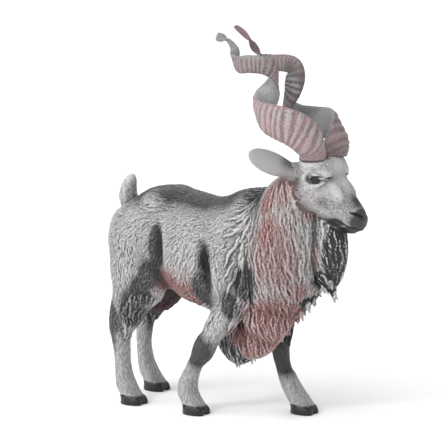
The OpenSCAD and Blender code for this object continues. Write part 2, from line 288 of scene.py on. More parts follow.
# Swellings on both sides: centre, radii, pitch, softness. The distance from the middle plane is y.
SWELLINGS = [
    ((-28.5, 8.0, 43), (8.4, 5.2, 13), -8, 2.5), ((-23, 9.2, 37), (3.6, 3.4, 6.5), 18, 2),
    ((-34.6, 6.0, 47.5), (4.2, 4.6, 8.5), 0, 2), ((-23, 5.5, 57.6), (5, 4.5, 4), -8, 2),
    ((4.2, 8.6, 44), (7, 5.2, 13.5), 6, 2.5), ((6.4, 5.4, 55), (5, 5, 8), 0, 2.5),
    ((-9.5, 7, 43.5), (9, 7.3, 12), 0, 2.5),
    ((29.6, 4.9, 71.5), (3.8, 2.3, 1.7), -28, 1.2), ((21.4, 6.2, 70.6), (3.6, 2.3, 2.7), 0, 1.5),
    ((26.4, 4.8, 64.6), (4.4, 2.3, 4.2), 0, 1.5),
    ((33.2, 3.6, 65.6), (3.6, 1.3, 2.0), -38, 1.2), ((37.8, 1.4, 57.9), (2.5, 1.7, 2.4), -20, 0.8),
]
# The same for what lies on the middle plane.
CREST = [
    ((30.2, 0, 71.2), (3.2, 5.2, 3.4), -35, 1.6), ((6.5, 0, 59.6), (8, 4, 4), 0, 2),
    ((-22, 0, 57.6), (9, 5.5, 4), -4, 2),
    ((37.2, 0, 62.2), (4.6, 1.9, 1.9), -52, 1.2), ((36.6, 0, 55.6), (2.6, 1.9, 1.9), -8, 0.8),
    ((39.3, 0, 56.4), (1.7, 2.2, 1.5), -30, 0.6),
    ((12.0, -3.4, 29.8), (6.6, 5.6, 8.0), 30, 2.5), ((8.2, -2.2, 23.4), (8.2, 3.2, 6.2), 38, 2),
]
# Flaps of long hair on the thighs, and the bent knee, which differ from side to side.
THIGH_FLAPS = [
    ((-28, -9.2, 28.5), (2.6, 2.4, 8.2), -25, 1.2), ((-30.2, 6.6, 28.8), (6.8, 2.6, 3.8), 38, 1.2),
    ((-28.4, 6.4, 33.2), (7, 2.8, 5), 35, 1.5), ((-5.0, -9, 19.2), (3.1, 2.9, 4.6), -20, 1.5),
]
# The front edge of the beard and the ruff, from the chin down to the fringe, as x and z.
FRONT_EDGE = [(35.4, 50), (33.4, 43.6), (30.6, 38.8), (26.8, 35.2), (23.2, 31.9), (20, 28.4), (16.7, 25.2),
              (13.6, 22.2), (10.1, 19.4), (5.5, 16), (0.8, 14.4)]
# Hollows on both sides: centre, radii, pitch, softness.
HOLLOWS = [
    ((-18.4, 15.0, 45.5), (1.8, 4.0, 9.5), 2, 1.8), ((-2.0, 15.4, 42), (1.8, 4.2, 9), 10, 1.8),
    ((-20.5, 14.5, 56), (3, 2, 3), 0, 2), ((29.4, 7.4, 68.7), (2.3, 1.7, 1.5), -12, 0.8),
    ((33.4, 6.6, 61.8), (3.2, 1.5, 2.2), -30, 1.5),
]
EYE = (29.3, 5.45, 68.75)
EYE_RADII = (1.6275, 1.55, 1.426)
# Lines on both sides of the face: points, radii at them, softness, and whether they are cut in.
FACE_LINES = [
    # the upper and the lower eyelid
    ([(26.9, 6.3, 68.9), (28.2, 6.85, 70), (29.6, 6.95, 70.35), (31, 6.3, 69.8), (32.3, 5.2, 69.3)],
     (0.25, 0.5, 0.6, 0.5, 0.3), 0.35, False),
    ([(27.2, 6.2, 68), (28.6, 6.75, 67.3), (30.2, 6.5, 67.4), (31.6, 5.6, 68.2)],
     (0.2, 0.36, 0.36, 0.2), 0.3, False),
    # creases under the eye
    *(([(27.2 + 0.3 * drop, 6.4, 67.6 - drop), (29.2, 6.3, 66.8 - drop), (31.4, 5.2, 67.5 - drop)],
       (0.1, 0.26, 0.12), 0.35, True) for drop in (1.0, 2.1, 3.1)),
    # the nostril and the mouth
    ([(38.2, 3.1, 60.3), (39.6, 2.2, 59.9), (40.9, 1.1, 59), (41.2, 0.9, 58.3)],
     (0.2, 0.42, 0.42, 0.15), 0.25, True),
    ([(34, 3.7, 58.3), (36, 3.2, 57.2), (38.4, 2.7, 56.1), (40.4, 1.6, 55.7), (41.2, 0, 55.7)],
     (0.2, 0.32, 0.34, 0.34, 0.34), 0.25, True),
]


def both(points):
    """The same places on the goat's right and left."""
    for side in SIDES.values():
        yield np.array(points, float) * (1, side, 1)


def sculpt_anatomy(clay):
    """Adds the muscles and bones that show, and sinks the hollows between them."""
    for centre, radii, pitch, blend in SWELLINGS:
        for place in both(centre):
            clay.egg(place, radii, pitch, blend)
    for centre, radii, pitch, blend in CREST + THIGH_FLAPS:
        clay.egg(centre, radii, pitch, blend)
    for centre, radii, pitch, blend in HOLLOWS:
        for place in both(centre):
            clay.egg(place, radii, pitch, blend, carve=True)


def thin_under_locks(clay):
    """Takes a little off the ruff's lower edge and the beard, where thick locks go back on."""
    ruff_bed, beard_bed = 0.45, 0.3
    where, (x, y, z) = clay.window(np.array((-9.0, -19, 12)), np.array((40.0, 19, 58)))
    apart = np.maximum(rise(7, 13, x), rise(5.8, 5.0, np.abs(y)) * rise(30, 27, z))
    clay.depth[where] += ruff_bed * apart * rise(50, 38, z) + beard_bed * rise(26, 29, x) * rise(58, 54, z)


def sculpt_hooves(clay):
    """Shapes cloven hooves, each with two dewclaws behind and a groove round its top."""
    groove = 25
    for x, y in HOOVES.values():
        for claw in (-1, 1):
            clay.egg((x + 0.2, y + 1.6 * claw, 0.5), (3.4, 1.75, 2.5), 0, 0.3)
            clay.egg((x - 3.9, y + 1.3 * claw, 5.2), (0.9, 0.8, 1.1), 30, 0.7)
        cleft = [(x + 4.2, y, -0.5), (x + 3.9, y, 1.2), (x + 3.2, y, 2.6)]
        clay.rope(cleft, (0.35, 0.3, 0.2), 0.25, carve=True)
        ring = [(x + 3.6 * math.cos(a), y + 3.1 * math.sin(a), 2.55) for a in np.linspace(0, TURN, groove)]
        clay.rope(ring, [0.16] * groove, 0.3, carve=True)


def sculpt_face(clay):
    """Shapes the eyes, their lids and creases, the nostrils, the mouth and the split of the upper lip."""
    for centre in both(EYE):
        clay.egg(centre, EYE_RADII, 0, 0.12)
    for points, radii, blend, carve in FACE_LINES:
        for line in both(points):
            clay.rope(line, radii, blend, carve)
    clay.rope([(41.9, 0, 59.2), (41.7, 0, 56.8)], (0.16, 0.16), 0.2, carve=True)


def hair_lie(points):
    """The way the hair lies at each point, before it is laid flat on the skin."""
    x, y, z = points.T
    low = rise(60, 40, z)
    way = np.stack([-1 + 0.5 * low, 0.25 * np.sign(y) * (1 - low), -0.15 - 0.95 * low], 1)

    def turn(share, x_way, z_way):
        share = share[:, None]
        way[:] = way * (1 - share) + np.stack([x_way + 0 * x, 0 * x, z_way + 0 * x], 1) * share

    haunch = rise(-17, -22, x) * rise(56, 48, z)
    shank = rise(30, 25, z) * rise(14, 8, x)
    neck = rise(6, 13, x)
    tail = ((x < -34) & (z > 55.5)).astype(float)
    turn(haunch, -0.3, -1)
    turn(shank, -0.08, -1)
    turn(neck, 0.06 + 0.3 * rise(14, 26, x), -1)
    turn(in_head(points), -1, 0.05 + 0.9 * rise(4.5, 2, np.abs(y)) + 0.5 * rise(68, 72, z))
    turn(tail, 0.15, 1)
    return way


def in_head(points):
    """1 on the head and 0 on the neck, with a soft edge along the jaw and the cheek."""
    x, _, z = points.T
    behind = (x - 24.6) * 0.907 + (z - 62.2) * 0.42
    below = (z - 59.4) + 0.667 * (x - 27.6)
    return rise(-1.2, 1.2, behind) * rise(-0.8, 0.8, below)


def lay_lock(clay, tree, normals, start, length, radius, rng, wave=0.3, free_reach=2.0, keep=None):
    """Lays one lock along the way the hair lies. Where the skin turns away, its tip hangs free."""
    (place, normal), steps = start, 10
    step, phase, free = length / steps, rng.uniform(0, TURN), 0.0
    per_step = 1.1
    lean = 0.18 * ripple(place[None], 9, 3)[0] + rng.normal(0, 0.07)
    path = [place - normal * radius * 0.5]
    for k in range(steps):
        way = unit(hair_lie(place[None])[0])
        into = way @ normal
        way = unit(way - normal * (into if into < 0 else 0.75 * into * (into < 0.5)))
        way = unit(way + np.cross(normal, way) * (lean + wave * math.cos(phase + k * per_step)))
        ahead = place + way * step
        skin_at, j, gap = tree.find(ahead)
        if gap < 1.0 + radius and free == 0:
            normal = normals[j]
            lift = radius * (0.15 + 0.75 * (k / steps) ** 2)
            ahead = ahead + normal * (lift - (ahead - np.array(skin_at)) @ normal)
        else:
            free += step
        if keep:
            ahead[1] = np.clip(ahead[1], *keep)
        path.append(ahead)
        place = ahead
        if free > free_reach:
            break
    share = np.linspace(0, 1, len(path))
    radii = radius * np.clip(0.75 + 0.9 * share - 1.5 * share**2.4, 0.14, 1)
    if free > 0:
        radii = radius * np.clip(1.35 - 0.95 * share**2, 0.3, 1.3)
    clay.rope(np.array(path), radii, 0.1)
    return path


def run_along(path):
    """How far along a path each of its points is."""
    return np.concatenate([[0], np.cumsum(np.linalg.norm(np.diff(path, axis=0), axis=1))])


def spread(skin, weight, count, apart, rng):
    """Scatters roots over the skin, no two closer than a given distance."""
    picked, spare = [], 12
    tries = min(count * spare, int((weight > 0).sum()))
    for i in rng.choice(len(skin), tries, replace=False, p=weight / weight.sum()):
        if len(picked) == count:
            break
        if not picked or (np.square(skin[picked] - skin[i]).sum(1) > apart * apart).all():
            picked.append(i)
    return sorted(picked, key=lambda i: skin[i, 2])


def grow_locks(clay, skin, normals, rng, sizes):
    """Lays locks of long hair on the neck, the breast, the chin, the thighs and the elbows.

    Returns each lock's path with its tint.
    """
    tree = tree_of(skin)
    x, y, z = skin.T
    body = 1 - in_head(skin)
    neck = rise(8.5, 13, x + 0.06 * (60 - z)) * body * rise(69, 64, z) * (z > 28)
    fringe = ((z < 30) & (x > -9) & (np.abs(y) < 5.4)).astype(float)
    fringe = np.maximum(fringe, (x > 7.5) & (y < 0) & (z < 34))
    chin = (x > 26.6) * body * (z < 58)
    low = np.maximum(fringe, neck * rise(56, 40, z)) * (z > 15.5)
    thigh_edge = (x < -20) & (x > -31) & (z > 21) & (z < 33) & (normals[:, 0] > 0.1) & (y < -5)
    far_edge = (x < -22) & (x > -37) & (z > 22) & (z < 34) & (normals[:, 2] < 0.1) & (y > 4)
    elbow = (x > -8) & (x < 0) & (z > 28) & (z < 33) & (np.abs(y) > 6) & (normals[:, 0] < 0)
    length, radius = sizes["length"], sizes["radius"]
    # where, how many, how far apart, length, radius, sway, how far a tip hangs free
    layers = [
        (neck * rise(38, 56, z), 1300, 0.65, 0.7 * length, 0.5 * radius, 0.2, 1.2),
        (low * (1 - chin), 760, 0.95, 1.1 * length, 0.8 * radius, 0.3, 3.2),
        (chin, 200, 0.85, 1.2 * length, 0.75 * radius, 0.28, 3.0),
        (thigh_edge.astype(float), 110, 0.8, 0.4 * length, 0.65 * radius, 0.25, 2.0),
        (far_edge.astype(float), 70, 0.9, 0.4 * length, 0.8 * radius, 0.2, 2.2),
        (elbow.astype(float), 40, 0.8, 0.5 * length, 0.6 * radius, 0.25, 1.2),
    ]
    locks = []
    for weight, count, apart, long, thick, wave, free in layers:
        for i in spread(skin, weight, count, apart, rng):
            between_legs = -9 < x[i] < 7.5 and abs(y[i]) < 5.4 and z[i] < 30
            keep = (-4.5, 4.5) if between_legs else None
            path = lay_lock(clay, tree, normals, (skin[i], normals[i]), long * rng.uniform(0.75, 1.2),
                            thick * rng.uniform(0.75, 1.2), rng, wave, free, keep)
            locks.append((np.array(path), rng.uniform()))
    return locks + hang_tufts(clay, rng)


def hang_tufts(clay, rng):
    """Hangs pointed tufts along the beard's and the ruff's front edge, down to the fringe."""
    edge, apart, stray = np.array(FRONT_EDGE), 1.5, 0.6
    run = run_along(edge)
    tufts = []
    for at in np.arange(0.5, run[-1], apart):
        at = at + rng.uniform(-stray, stray)
        y = rng.uniform(-2.4, 2.6)
        x, z = np.interp(at, run, edge[:, 0]) - 0.6 * y, np.interp(at, run, edge[:, 1])
        drop, thick = rng.uniform(0.4, 1.8), rng.uniform(1.0, 1.5)
        tuft = [(x - 3.4, y, z + 5.4), (x - 2.4, y, z + 3.0), (x - 0.9, y, z + 1.0), (x, y, z - drop)]
        clay.rope(tuft, (thick, thick, 0.75 * thick, 0.3), 0.3)
        tufts.append((np.array(tuft), rng.uniform()))
    return tufts


def comb(points, normals, rng, zones):
    """Presses short strands into the skin. Returns how high each point stands and its strand's tint."""
    tree = tree_of(points)
    height = np.zeros(len(points))
    tint = np.full(len(points), 0.5)
    ways = hair_lie(points)
    ways = unit(ways - (ways * normals).sum(1, keepdims=True) * normals)
    turns = 0.32 * ripple(points, 7, 11) + 0.22 * ripple(points, 3, 12)
    for weight, count, length, width, rise_by in zones:
        for i in rng.choice(len(points), count, p=weight / weight.sum()):
            reach = length * rng.uniform(0.6, 1.3)
            half = width * rng.uniform(0.7, 1.25)
            turn = turns[i] + rng.normal(0, 0.1)
            side = np.cross(normals[i], ways[i])
            way = ways[i] * math.cos(turn) + side * math.sin(turn)
            side = np.cross(normals[i], way)
            found = tree.find_range(points[i] + way * reach / 2, reach / 2 + half)
            near = np.fromiter((f[1] for f in found), int, len(found))
            near = near[normals[near] @ normals[i] > 0.2]
            q = points[near] - points[i]
            s = q @ way / reach
            bend = rng.uniform(-0.16, 0.16) * reach * s * s
            bend = bend + 0.05 * reach * np.sin(TURN * s + rng.uniform(0, TURN))
            room = half * np.clip(1.05 - s**3, 0.05, 1) * np.clip(0.3 + 5 * s, 0, 1)
            off = (q @ side - bend) / (room + TINY)
            inside = (s > 0) & (s < 1) & (np.abs(off) < 1)
            near, s, off = near[inside], s[inside], off[inside]
            ridge = rise_by * rng.uniform(0.7, 1.1) * (0.3 + 0.7 * s) * (1 - s**8) * (1 - off * off) ** 0.8
            higher = ridge > height[near]
            height[near[higher]] = ridge[higher]
            tint[near[higher]] = rng.uniform()
    return height, tint


# How deep the relief is, in millimetres, between single strands and between locks.
STRAND_RELIEF, LOCK_RELIEF = 0.035, 0.16
SHRINK = 0.12  # taken off all round, because the hair builds the surface back up


def make_sculpture(sculpt):
    """The whole body in one skin, with its hair, as points, quads and what the paint follows."""
    rng = np.random.default_rng(sculpt.seed)
    grain = sculpt.grain / MM
    clay = Clay((-47, -19, -4), (48, 19, 82), grain * 2)
    for name in BODY_NODES:
        clay.add_solid(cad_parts[name].data)
    clay.soften(3)
    clay.depth -= SHRINK
    sculpt_anatomy(clay)
    thin_under_locks(clay)
    clay.soften(1)
    skin, skin_quads = clay.surface()
    skin_normals = outward(skin, skin_quads)
    clay = clay.finer()
    sculpt_hooves(clay)
    sculpt_face(clay)
    sizes = {"length": sculpt.lock_length / MM, "radius": sculpt.lock_radius / MM}
    locks = grow_locks(clay, skin, skin_normals, rng, sizes)
    points, quads = clay.surface()
    normals = outward(points, quads)

    x, y, z = points.T
    head = in_head(points)
    to_eye = np.linalg.norm((points * (1, 0, 1)) - (EYE[0], 0, EYE[2]), axis=1)
    bare_eye = rise(2.6, 1.7, to_eye) * (np.abs(y) > 4.5)
    fur = rise(2.2, 3.4, z) * (1 - bare_eye) * (1 - rise(38.8, 40, x) * head)
    ruff = rise(9, 13, x) * (1 - head) + rise(29, 27, z) * rise(5.6, 5, np.abs(y)) * rise(-11, -8, x)
    ruff = np.clip(ruff, 0, 1)
    legs = rise(30, 25, z) * (1 - ruff)
    lower_legs = rise(20, 14, z)
    face = head * rise(73, 71, z)
    trunk = fur * (1 - np.clip(ruff + legs + head, 0, 1))
    length, width, high = sculpt.hair_length / MM, sculpt.hair_width / MM, sculpt.hair_height / MM
    zones = [
        (trunk, 18000, length, width, high),
        (fur * ruff, 7000, length * 1.2, width * 0.85, high * 0.6),
        (fur * legs * (1 - lower_legs), 2900, length * 0.9, width, high * 0.7),
        (fur * lower_legs, 2400, length * 0.85, width, high * 0.34),
        (fur * face, 3600, length * 0.7, width, high * 0.4),
    ]
    height, tint = comb(points, normals, rng, zones)
    points = points + normals * (height - 0.5 * high * fur * (1 - lower_legs * 0.7))[:, None]

    strands = tree_of([p for path, _ in locks for p in path])
    tints = [t for path, t in locks for _ in path]
    lock_tint = np.array([tints[strands.find(p)[1]] for p in points])
    tint = np.where(ruff > 0.5, 0.5 * tint + 0.5 * lock_tint, tint)
    near, wide = smoothed(points, quads, 5), smoothed(points, quads, 30)
    normals = quad_normals(near, quads)
    proud = ((points - near) * normals).sum(1) / STRAND_RELIEF
    proud = proud + ((points - wide) * normals).sum(1) / LOCK_RELIEF
    relief = np.clip(0.5 + 0.18 * proud, 0, 1)
    return points, quads, {"relief": relief, "tint": tint, "normal": quad_normals(points, quads)}


def outward(points, quads):
    """Normals that point out of the surface, after turning the quads that way."""
    normals = quad_normals(points, quads)
    a, b, c, d = (points[quads[:, i]] for i in range(4))
    volume = (np.cross(b - a, c - a) * a).sum() + (np.cross(c - a, d - a) * a).sum()
    if volume < 0:
        quads[:] = quads[:, ::-1].copy()
        normals = -normals
    return normals


# ---- Cutting the sculpture apart, and joining it with pegs --------------------

FAR = 100            # past everything
FORE_CUT_Z = 28      # the forelegs and the breast fringe meet the trunk here
HIND_CUT_Z = 34      # the hind legs meet the trunk here
NECK_CUT_X = 12      # the ruff meets the trunk here
BEARD_CUT_X = 27     # the beard meets the ruff here
HORN_SEAT_Z = 74     # the horns stand on the skull here
TAIL_SEAT_Z = 54.5   # the tail stands on the rump here
THROAT = (26.6, 60.2)
# The head's side of its joint, as x and z: back and up from the throat, and forward under the jaw.
HEAD_OUTLINE = [THROAT, (THROAT[0] - 9.3, THROAT[1] + 20), (THROAT[0] - 9.3, FAR), (FAR, FAR),
                (FAR, THROAT[1] - 2 / 3 * (FAR - THROAT[0]))]
UNDER = -9           # below everything that hangs
ASIDE = 40           # past everything at the sides
HIND_FRONT_X = -19   # the hind legs are behind this
HIND_HALF = 3.2      # half the space between the hind legs
BRISKET_X = -8       # the forelegs meet the trunk in front of this
ELBOW_Z = 24         # below this the right foreleg reaches back past the brisket
# Where each leg's peg stands, as x and y.
LEG_PEGS = {"foreleg_right": (1.6, -9), "foreleg_left": (8.2, 9),
            "hindleg_right": (-28, -8.6), "hindleg_left": (-29, 8.6)}
FRINGE_HALF = 5.15   # the fringe hangs between the forelegs inside this
LOBE_X = 6.9         # in front of the right foreleg the breast is wider than the fringe
HORN_FOOT = (27.4, -4.8)
EAR_ROOT = (23, -6.2, 70.2)
TAIL_X = -37.4
# Half widths of the seats for the horns, the ears and the tail.
HORN_SEAT, EAR_SEAT, TAIL_SEAT = (4.7, 4.4), (1.9, 1.6), (3.1, 3.2)
OVERLAP = 0.5        # how far a peg runs into its own piece


def solid(name, points, faces):
    """A mesh object from places in millimetres."""
    mesh = bpy.data.meshes.new(name)
    places = [tuple(float(c) * MM for c in p) for p in points]
    mesh.from_pydata(places, [], [list(map(int, f)) for f in faces])
    mesh.validate()
    made = bpy.data.objects.new(name, mesh)
    bpy.context.scene.collection.objects.link(made)
    return made


def extruded(outline, low, high, place=Matrix()):
    """An outline in the XY plane, raised from low to high along Z, then put in its place."""
    n = len(outline)
    points = [place @ Vector((x, y, z)) for z in (low, high) for x, y in outline]
    if sum(outline[i - 1][0] * y - x * outline[i - 1][1] for i, (x, y) in enumerate(outline)) < 0:
        points = [points[j] for j in range(n - 1, -1, -1)] + [points[n + j] for j in range(n - 1, -1, -1)]
    walls = [[i, (i + 1) % n, n + (i + 1) % n, n + i] for i in range(n)]
    return solid("block", points, walls + [list(range(n - 1, -1, -1)), list(range(n, 2 * n))])


# Stands an outline up in the XZ plane.
SIDE_ON = Matrix(((1, 0, 0, 0), (0, 0, -1, 0), (0, 1, 0, 0), (0, 0, 0, 1)))


def block(x, y, z):
    """A box from its low and high ends along each axis."""
    return extruded([(x[0], y[0]), (x[1], y[0]), (x[1], y[1]), (x[0], y[1])], *z)


def cut(work, cutter, way="DIFFERENCE"):
    """Cuts, joins or trims one solid with another."""
    tool = work.modifiers.new("cut", "BOOLEAN")
    tool.operation, tool.object, tool.solver = way, cutter, "MANIFOLD"
    shape = bpy.data.meshes.new_from_object(work.evaluated_get(bpy.context.evaluated_depsgraph_get()))
    work.modifiers.clear()
    old, work.data = work.data, shape
    bpy.data.meshes.remove(old)
    if not len(shape.polygons):
        raise RuntimeError(f"nothing is left of {work.name}")
    bpy.data.objects.remove(cutter)
    return work


def join_all(blocks):
    """Joins solids into the first of them."""
    first, *others = blocks
    for other in others:
        cut(first, other, "UNION")
    return first


# Each room is the space that a piece is cut from. The piece that it joins is cut with the same room.


def head_room():
    return extruded(HEAD_OUTLINE, -FAR, FAR, SIDE_ON)


def beard_room():
    return cut(block((BEARD_CUT_X, FAR), (-FAR, FAR), (UNDER, FAR)), head_room())


def ruff_room():
    front = block((NECK_CUT_X, BEARD_CUT_X), (-FAR, FAR), (FORE_CUT_Z, FAR))
    fringe = block((-18, BEARD_CUT_X), (-FRINGE_HALF, FRINGE_HALF), (UNDER, FORE_CUT_Z))
    lobe = block((LOBE_X, BEARD_CUT_X), (-FAR, 0), (UNDER, FORE_CUT_Z))
    return cut(join_all([front, fringe, lobe]), head_room())


def leg_room(leg):
    side = -1 if leg.endswith("right") else 1
    if leg.startswith("hind"):
        return block((-60, HIND_FRONT_X), sorted((side * HIND_HALF, side * ASIDE)), (0, HIND_CUT_Z))
    across = sorted((side * FRINGE_HALF, side * ASIDE))
    if side > 0:
        return block((BRISKET_X, 60), across, (0, FORE_CUT_Z))
    shank = block((-18.5, LOBE_X), across, (0, ELBOW_Z))
    return join_all([shank, block((BRISKET_X, LOBE_X), across, (ELBOW_Z, FORE_CUT_Z))])


def tail_room():
    return extruded(oval(TAIL_X, 0, *TAIL_SEAT, 24), TAIL_SEAT_Z, FAR)


def oval(x, y, half_x, half_y, sides):
    """The outline of an ellipse round a centre."""
    return [(x + half_x * math.cos(2 * math.pi * i / sides), y + half_y * math.sin(2 * math.pi * i / sides))
            for i in range(sides)]


def peg(radius, low, high, place=Matrix()):
    """A D-shaped peg, round but for one flat."""
    flat = 0.6 * radius
    outline = [(min(x, flat), y) for x, y in oval(0, 0, radius, radius, 48)]
    return extruded(outline, low, high, place)


# Each peg grows by extra all round to make its socket.


def leg_peg(leg, joints, extra=0.0):
    fore = leg.startswith("fore")
    radius = joints.leg_peg / MM * (1 if fore else 1.2) + extra
    seat, length = (FORE_CUT_Z, 6) if fore else (HIND_CUT_Z, 7)
    below = 2 * OVERLAP if extra else OVERLAP
    return peg(radius, seat - below, seat + length + 2 * extra, Matrix.Translation((*LEG_PEGS[leg], 0)))


def neck_tenon(extra=0.0):
    return block((5 - extra, 12.5 + extra), (-4 - extra, 4 + extra), (42 - extra, 50 + extra))


def head_tenon(extra=0.0):
    place = Matrix.Translation((THROAT[0] - 3.4, 0, THROAT[1] + 7.3))
    place = place @ Matrix.Rotation(math.radians(-115), 4, "Y")
    half = 2.5 + extra
    return extruded([(-half, -half), (half, -half), (half, half), (-half, half)], -1, 6 + extra, place)


def beard_peg(extra=0.0):
    place = Matrix.Translation((BEARD_CUT_X, 0, 48)) @ Matrix.Rotation(math.radians(-90), 4, "Y")
    return peg(1.5 + extra, -2 * OVERLAP if extra else -OVERLAP, 4 + extra, place)


def tail_peg(extra=0.0):
    place = Matrix.Translation((TAIL_X, 0, 0))
    return peg(1.2 + extra, TAIL_SEAT_Z - 3.5 - 2 * extra, TAIL_SEAT_Z + OVERLAP, place)


def horn_peg(side, joints, extra=0.0):
    place = Matrix.Translation((HORN_FOOT[0], -side * HORN_FOOT[1], 0))
    return peg(joints.horn_peg / MM + extra, HORN_SEAT_Z - 3.5 - extra, HORN_SEAT_Z + OVERLAP, place)


def ear_place(side):
    """Where an ear stands: its root, then its turn backward, its droop and its twist."""
    place = Matrix.Translation((EAR_ROOT[0], -side * EAR_ROOT[1], EAR_ROOT[2]))
    for degrees, axis in ((side * 138, "Z"), (66, "Y"), (side * -20, "Z")):
        place = place @ Matrix.Rotation(math.radians(degrees), 4, axis)
    return place


def ear_peg(side, extra=0.0):
    return peg(0.9 + extra, -2.5 - extra, OVERLAP, ear_place(side))


def dress(piece, node, material):
    """Finishes a piece: smooth shading with crisp cut edges, its paint, and its place in the frame."""
    piece.name = piece.data.name = node
    piece.data.shade_smooth()
    if "normal" in piece.data.attributes:
        fill_cut_points(piece)
        carry_normals(piece)
    else:
        piece.data.set_sharp_from_angle(angle=math.radians(70))
    piece.data.materials.clear()
    piece.data.materials.append(material)
    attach(piece, "root")
    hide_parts(node)
    return piece


def cast(name, room=None, without=None):
    """A copy of the sculpture, trimmed to one piece's room."""
    whole = bpy.data.objects["sculpture"]
    piece = bpy.data.objects.new(name, whole.data.copy())
    bpy.context.scene.collection.objects.link(piece)
    if room:
        cut(piece, room, "INTERSECT")
    if without:
        cut(piece, without)
    return piece


# ---- Horns and ears -------------------------------------------------------------

# One turn of the corkscrew shows the ribbed face forward at 0, outward at 90, back at 180 and inward at 270.
# A station is degrees turned, x, distance from the middle plane, z, share of the band's width.
HORNS = {
    "right": [
        (5, 27.2, 4.7, HORN_SEAT_Z, 0.86), (15, 27.5, 5.4, 76.4, 0.9), (45, 27.4, 8, 80, 1.02),
        (75, 25, 10.5, 82.8, 1.1), (105, 20, 11, 84.2, 1.04), (145, 15, 9.6, 85.2, 0.94),
        (185, 12, 7, 87, 0.84), (235, 12, 4, 89.6, 0.76), (290, 13.2, 2.8, 93, 0.64),
        (345, 14.8, 4.4, 96.6, 0.56), (400, 13.8, 7.2, 98.6, 0.54), (450, 9.6, 8.5, 99, 0.54),
        (495, 5.6, 7.8, 98.6, 0.52), (545, 2.8, 5.8, 99.8, 0.4), (610, 1.4, 3.8, 102, 0.28),
        (680, -0.6, 3.8, 104.4, 0.25), (750, -3.2, 4.8, 105.4, 0.27), (770, -3.8, 5, 105.6, 0.16)],
    "left": [
        (-35, 27.8, 4.9, HORN_SEAT_Z, 0.86), (-30, 28.2, 5.6, 76.4, 0.86), (0, 27.6, 7.6, 79.8, 0.9),
        (50, 24, 9.8, 81.8, 0.96), (95, 19, 10.2, 82, 0.96), (140, 14, 9.2, 82.6, 0.9),
        (180, 12.2, 6.6, 85, 0.8), (225, 13.8, 4.2, 88, 0.68), (265, 16.2, 2.6, 91.4, 0.64),
        (285, 16.8, 3, 94.8, 0.62), (275, 15, 5.2, 97.4, 0.58), (272, 11, 7, 98, 0.54),
        (300, 6.6, 7.2, 98, 0.48), (380, 3.8, 5.8, 99.4, 0.34), (470, 2.8, 4.2, 101.8, 0.24),
        (560, 1.4, 3.7, 104.2, 0.22), (640, -1.2, 4.2, 106, 0.2), (700, -4.2, 4.8, 107.6, 0.14)],
}
RING_STEP = 0.2      # from one ring of points to the next
HORN_FOOT_RUN = 5    # over this length the band turns from upright onto its own path
RIB_SPACING = 2.0    # between growth rings, where the band is broadest
RIB_HEIGHT = 0.36


def skin_over(rings, name):
    """A closed skin over rings of points."""
    rings = np.array(rings)
    count, around = rings.shape[:2]
    i, j = np.meshgrid(np.arange(count - 1), np.arange(around), indexing="ij")
    a, b = i * around + j, i * around + (j + 1) % around
    walls = np.stack([a, b, b + around, a + around], -1).reshape(-1, 4).tolist()
    ends = [list(range(around - 1, -1, -1)), list(range((count - 1) * around, count * around))]
    return solid(name, rings.reshape(-1, 3), walls + ends)


def shape_horn(side, joints, rng):
    """A flat band that winds up a corkscrew, with growth rings across its outer face."""
    path = refine(HORNS[side], 40)
    run = run_along(path[:, 1:4])
    even = np.arange(0, run[-1], RING_STEP)
    turned, x, off, z, share = (np.interp(even, run, path[:, k]) for k in range(5))
    sign = SIDES[side]
    centres = np.stack([x, sign * off, z], 1)
    along = unit(np.gradient(centres, axis=0))
    ease = np.clip(even / HORN_FOOT_RUN, 0, 1)[:, None]
    along = unit(Z_UP * (1 - ease) + along * ease)
    turned = np.radians(turned)
    facing = np.stack([np.cos(turned), sign * np.sin(turned), 0 * turned], 1)
    facing = unit(facing - (facing * along).sum(1, keepdims=True) * along)
    across = np.cross(along, facing)
    half = joints.band_width / MM / 2 * share
    around, most_ribs = 56, 80
    angle = 2 * math.pi * np.arange(around) / around
    co, si = np.cos(angle), np.sin(angle)
    outer = np.clip(co, 0, 1) ** 0.35
    flat = np.maximum(0.4, 0.94 - 0.54 * even / 9)
    spacing = RIB_SPACING * (0.3 + 0.7 * share / share.max())
    ring_phase = np.cumsum(RING_STEP / spacing) + 0.18 * np.sin(even * 0.9 + rng.uniform(0, 6))
    own = np.interp(np.floor(ring_phase), np.arange(most_ribs), rng.uniform(0.55, 1, most_ribs))
    strength = np.clip(half / 4, 0.16, 1) * np.clip(even / HORN_FOOT_RUN, 0.3, 1) * own
    rings, ridges = [], []
    for k, c in enumerate(centres):
        skew = -(0.15 + 1.5 * math.exp(-even[k] / 6)) * si * half[k] / 4
        wave = 0.5 + 0.5 * np.cos(2 * math.pi * (ring_phase[k] + skew))
        ridge = outer * (wave ** 0.8)
        depth = np.sign(co) * np.abs(co) ** (1.0 + 0.35 * (co < 0)) * half[k] * flat[k]
        lift = RIB_HEIGHT * strength[k] * (ridge - 0.45 * outer)
        ring = c + across[k] * (si * (half[k] + 0.25 * lift))[:, None] + facing[k] * (depth + lift)[:, None]
        rings.append(ring)
        ridges.append(np.where(co > 0, ridge, 0.62 + 0.1 * np.sin(40 * si)))
    horn = skin_over(rings, "horn_" + side)
    keep_values(horn, "relief", np.concatenate(ridges))
    keep_values(horn, "face_out", np.tile(np.clip(co * 1.5, -1, 1), len(rings)))
    return horn


def read_all(items, field, wide, kind=np.float32):
    """One field of every item of a mesh, as rows where it is wider than one number."""
    values = np.empty(len(items) * wide, kind)
    items.foreach_get(field, values)
    return values.reshape(-1, wide) if wide > 1 else values


def keep_values(piece, name, values):
    """Stores one number, or one vector, for each point of a mesh."""
    values = np.asarray(values, np.float32)
    kind, field = ("FLOAT", "value") if values.ndim == 1 else ("FLOAT_VECTOR", "vector")
    piece.data.attributes.new(name, kind, "POINT").data.foreach_set(field, values.ravel())


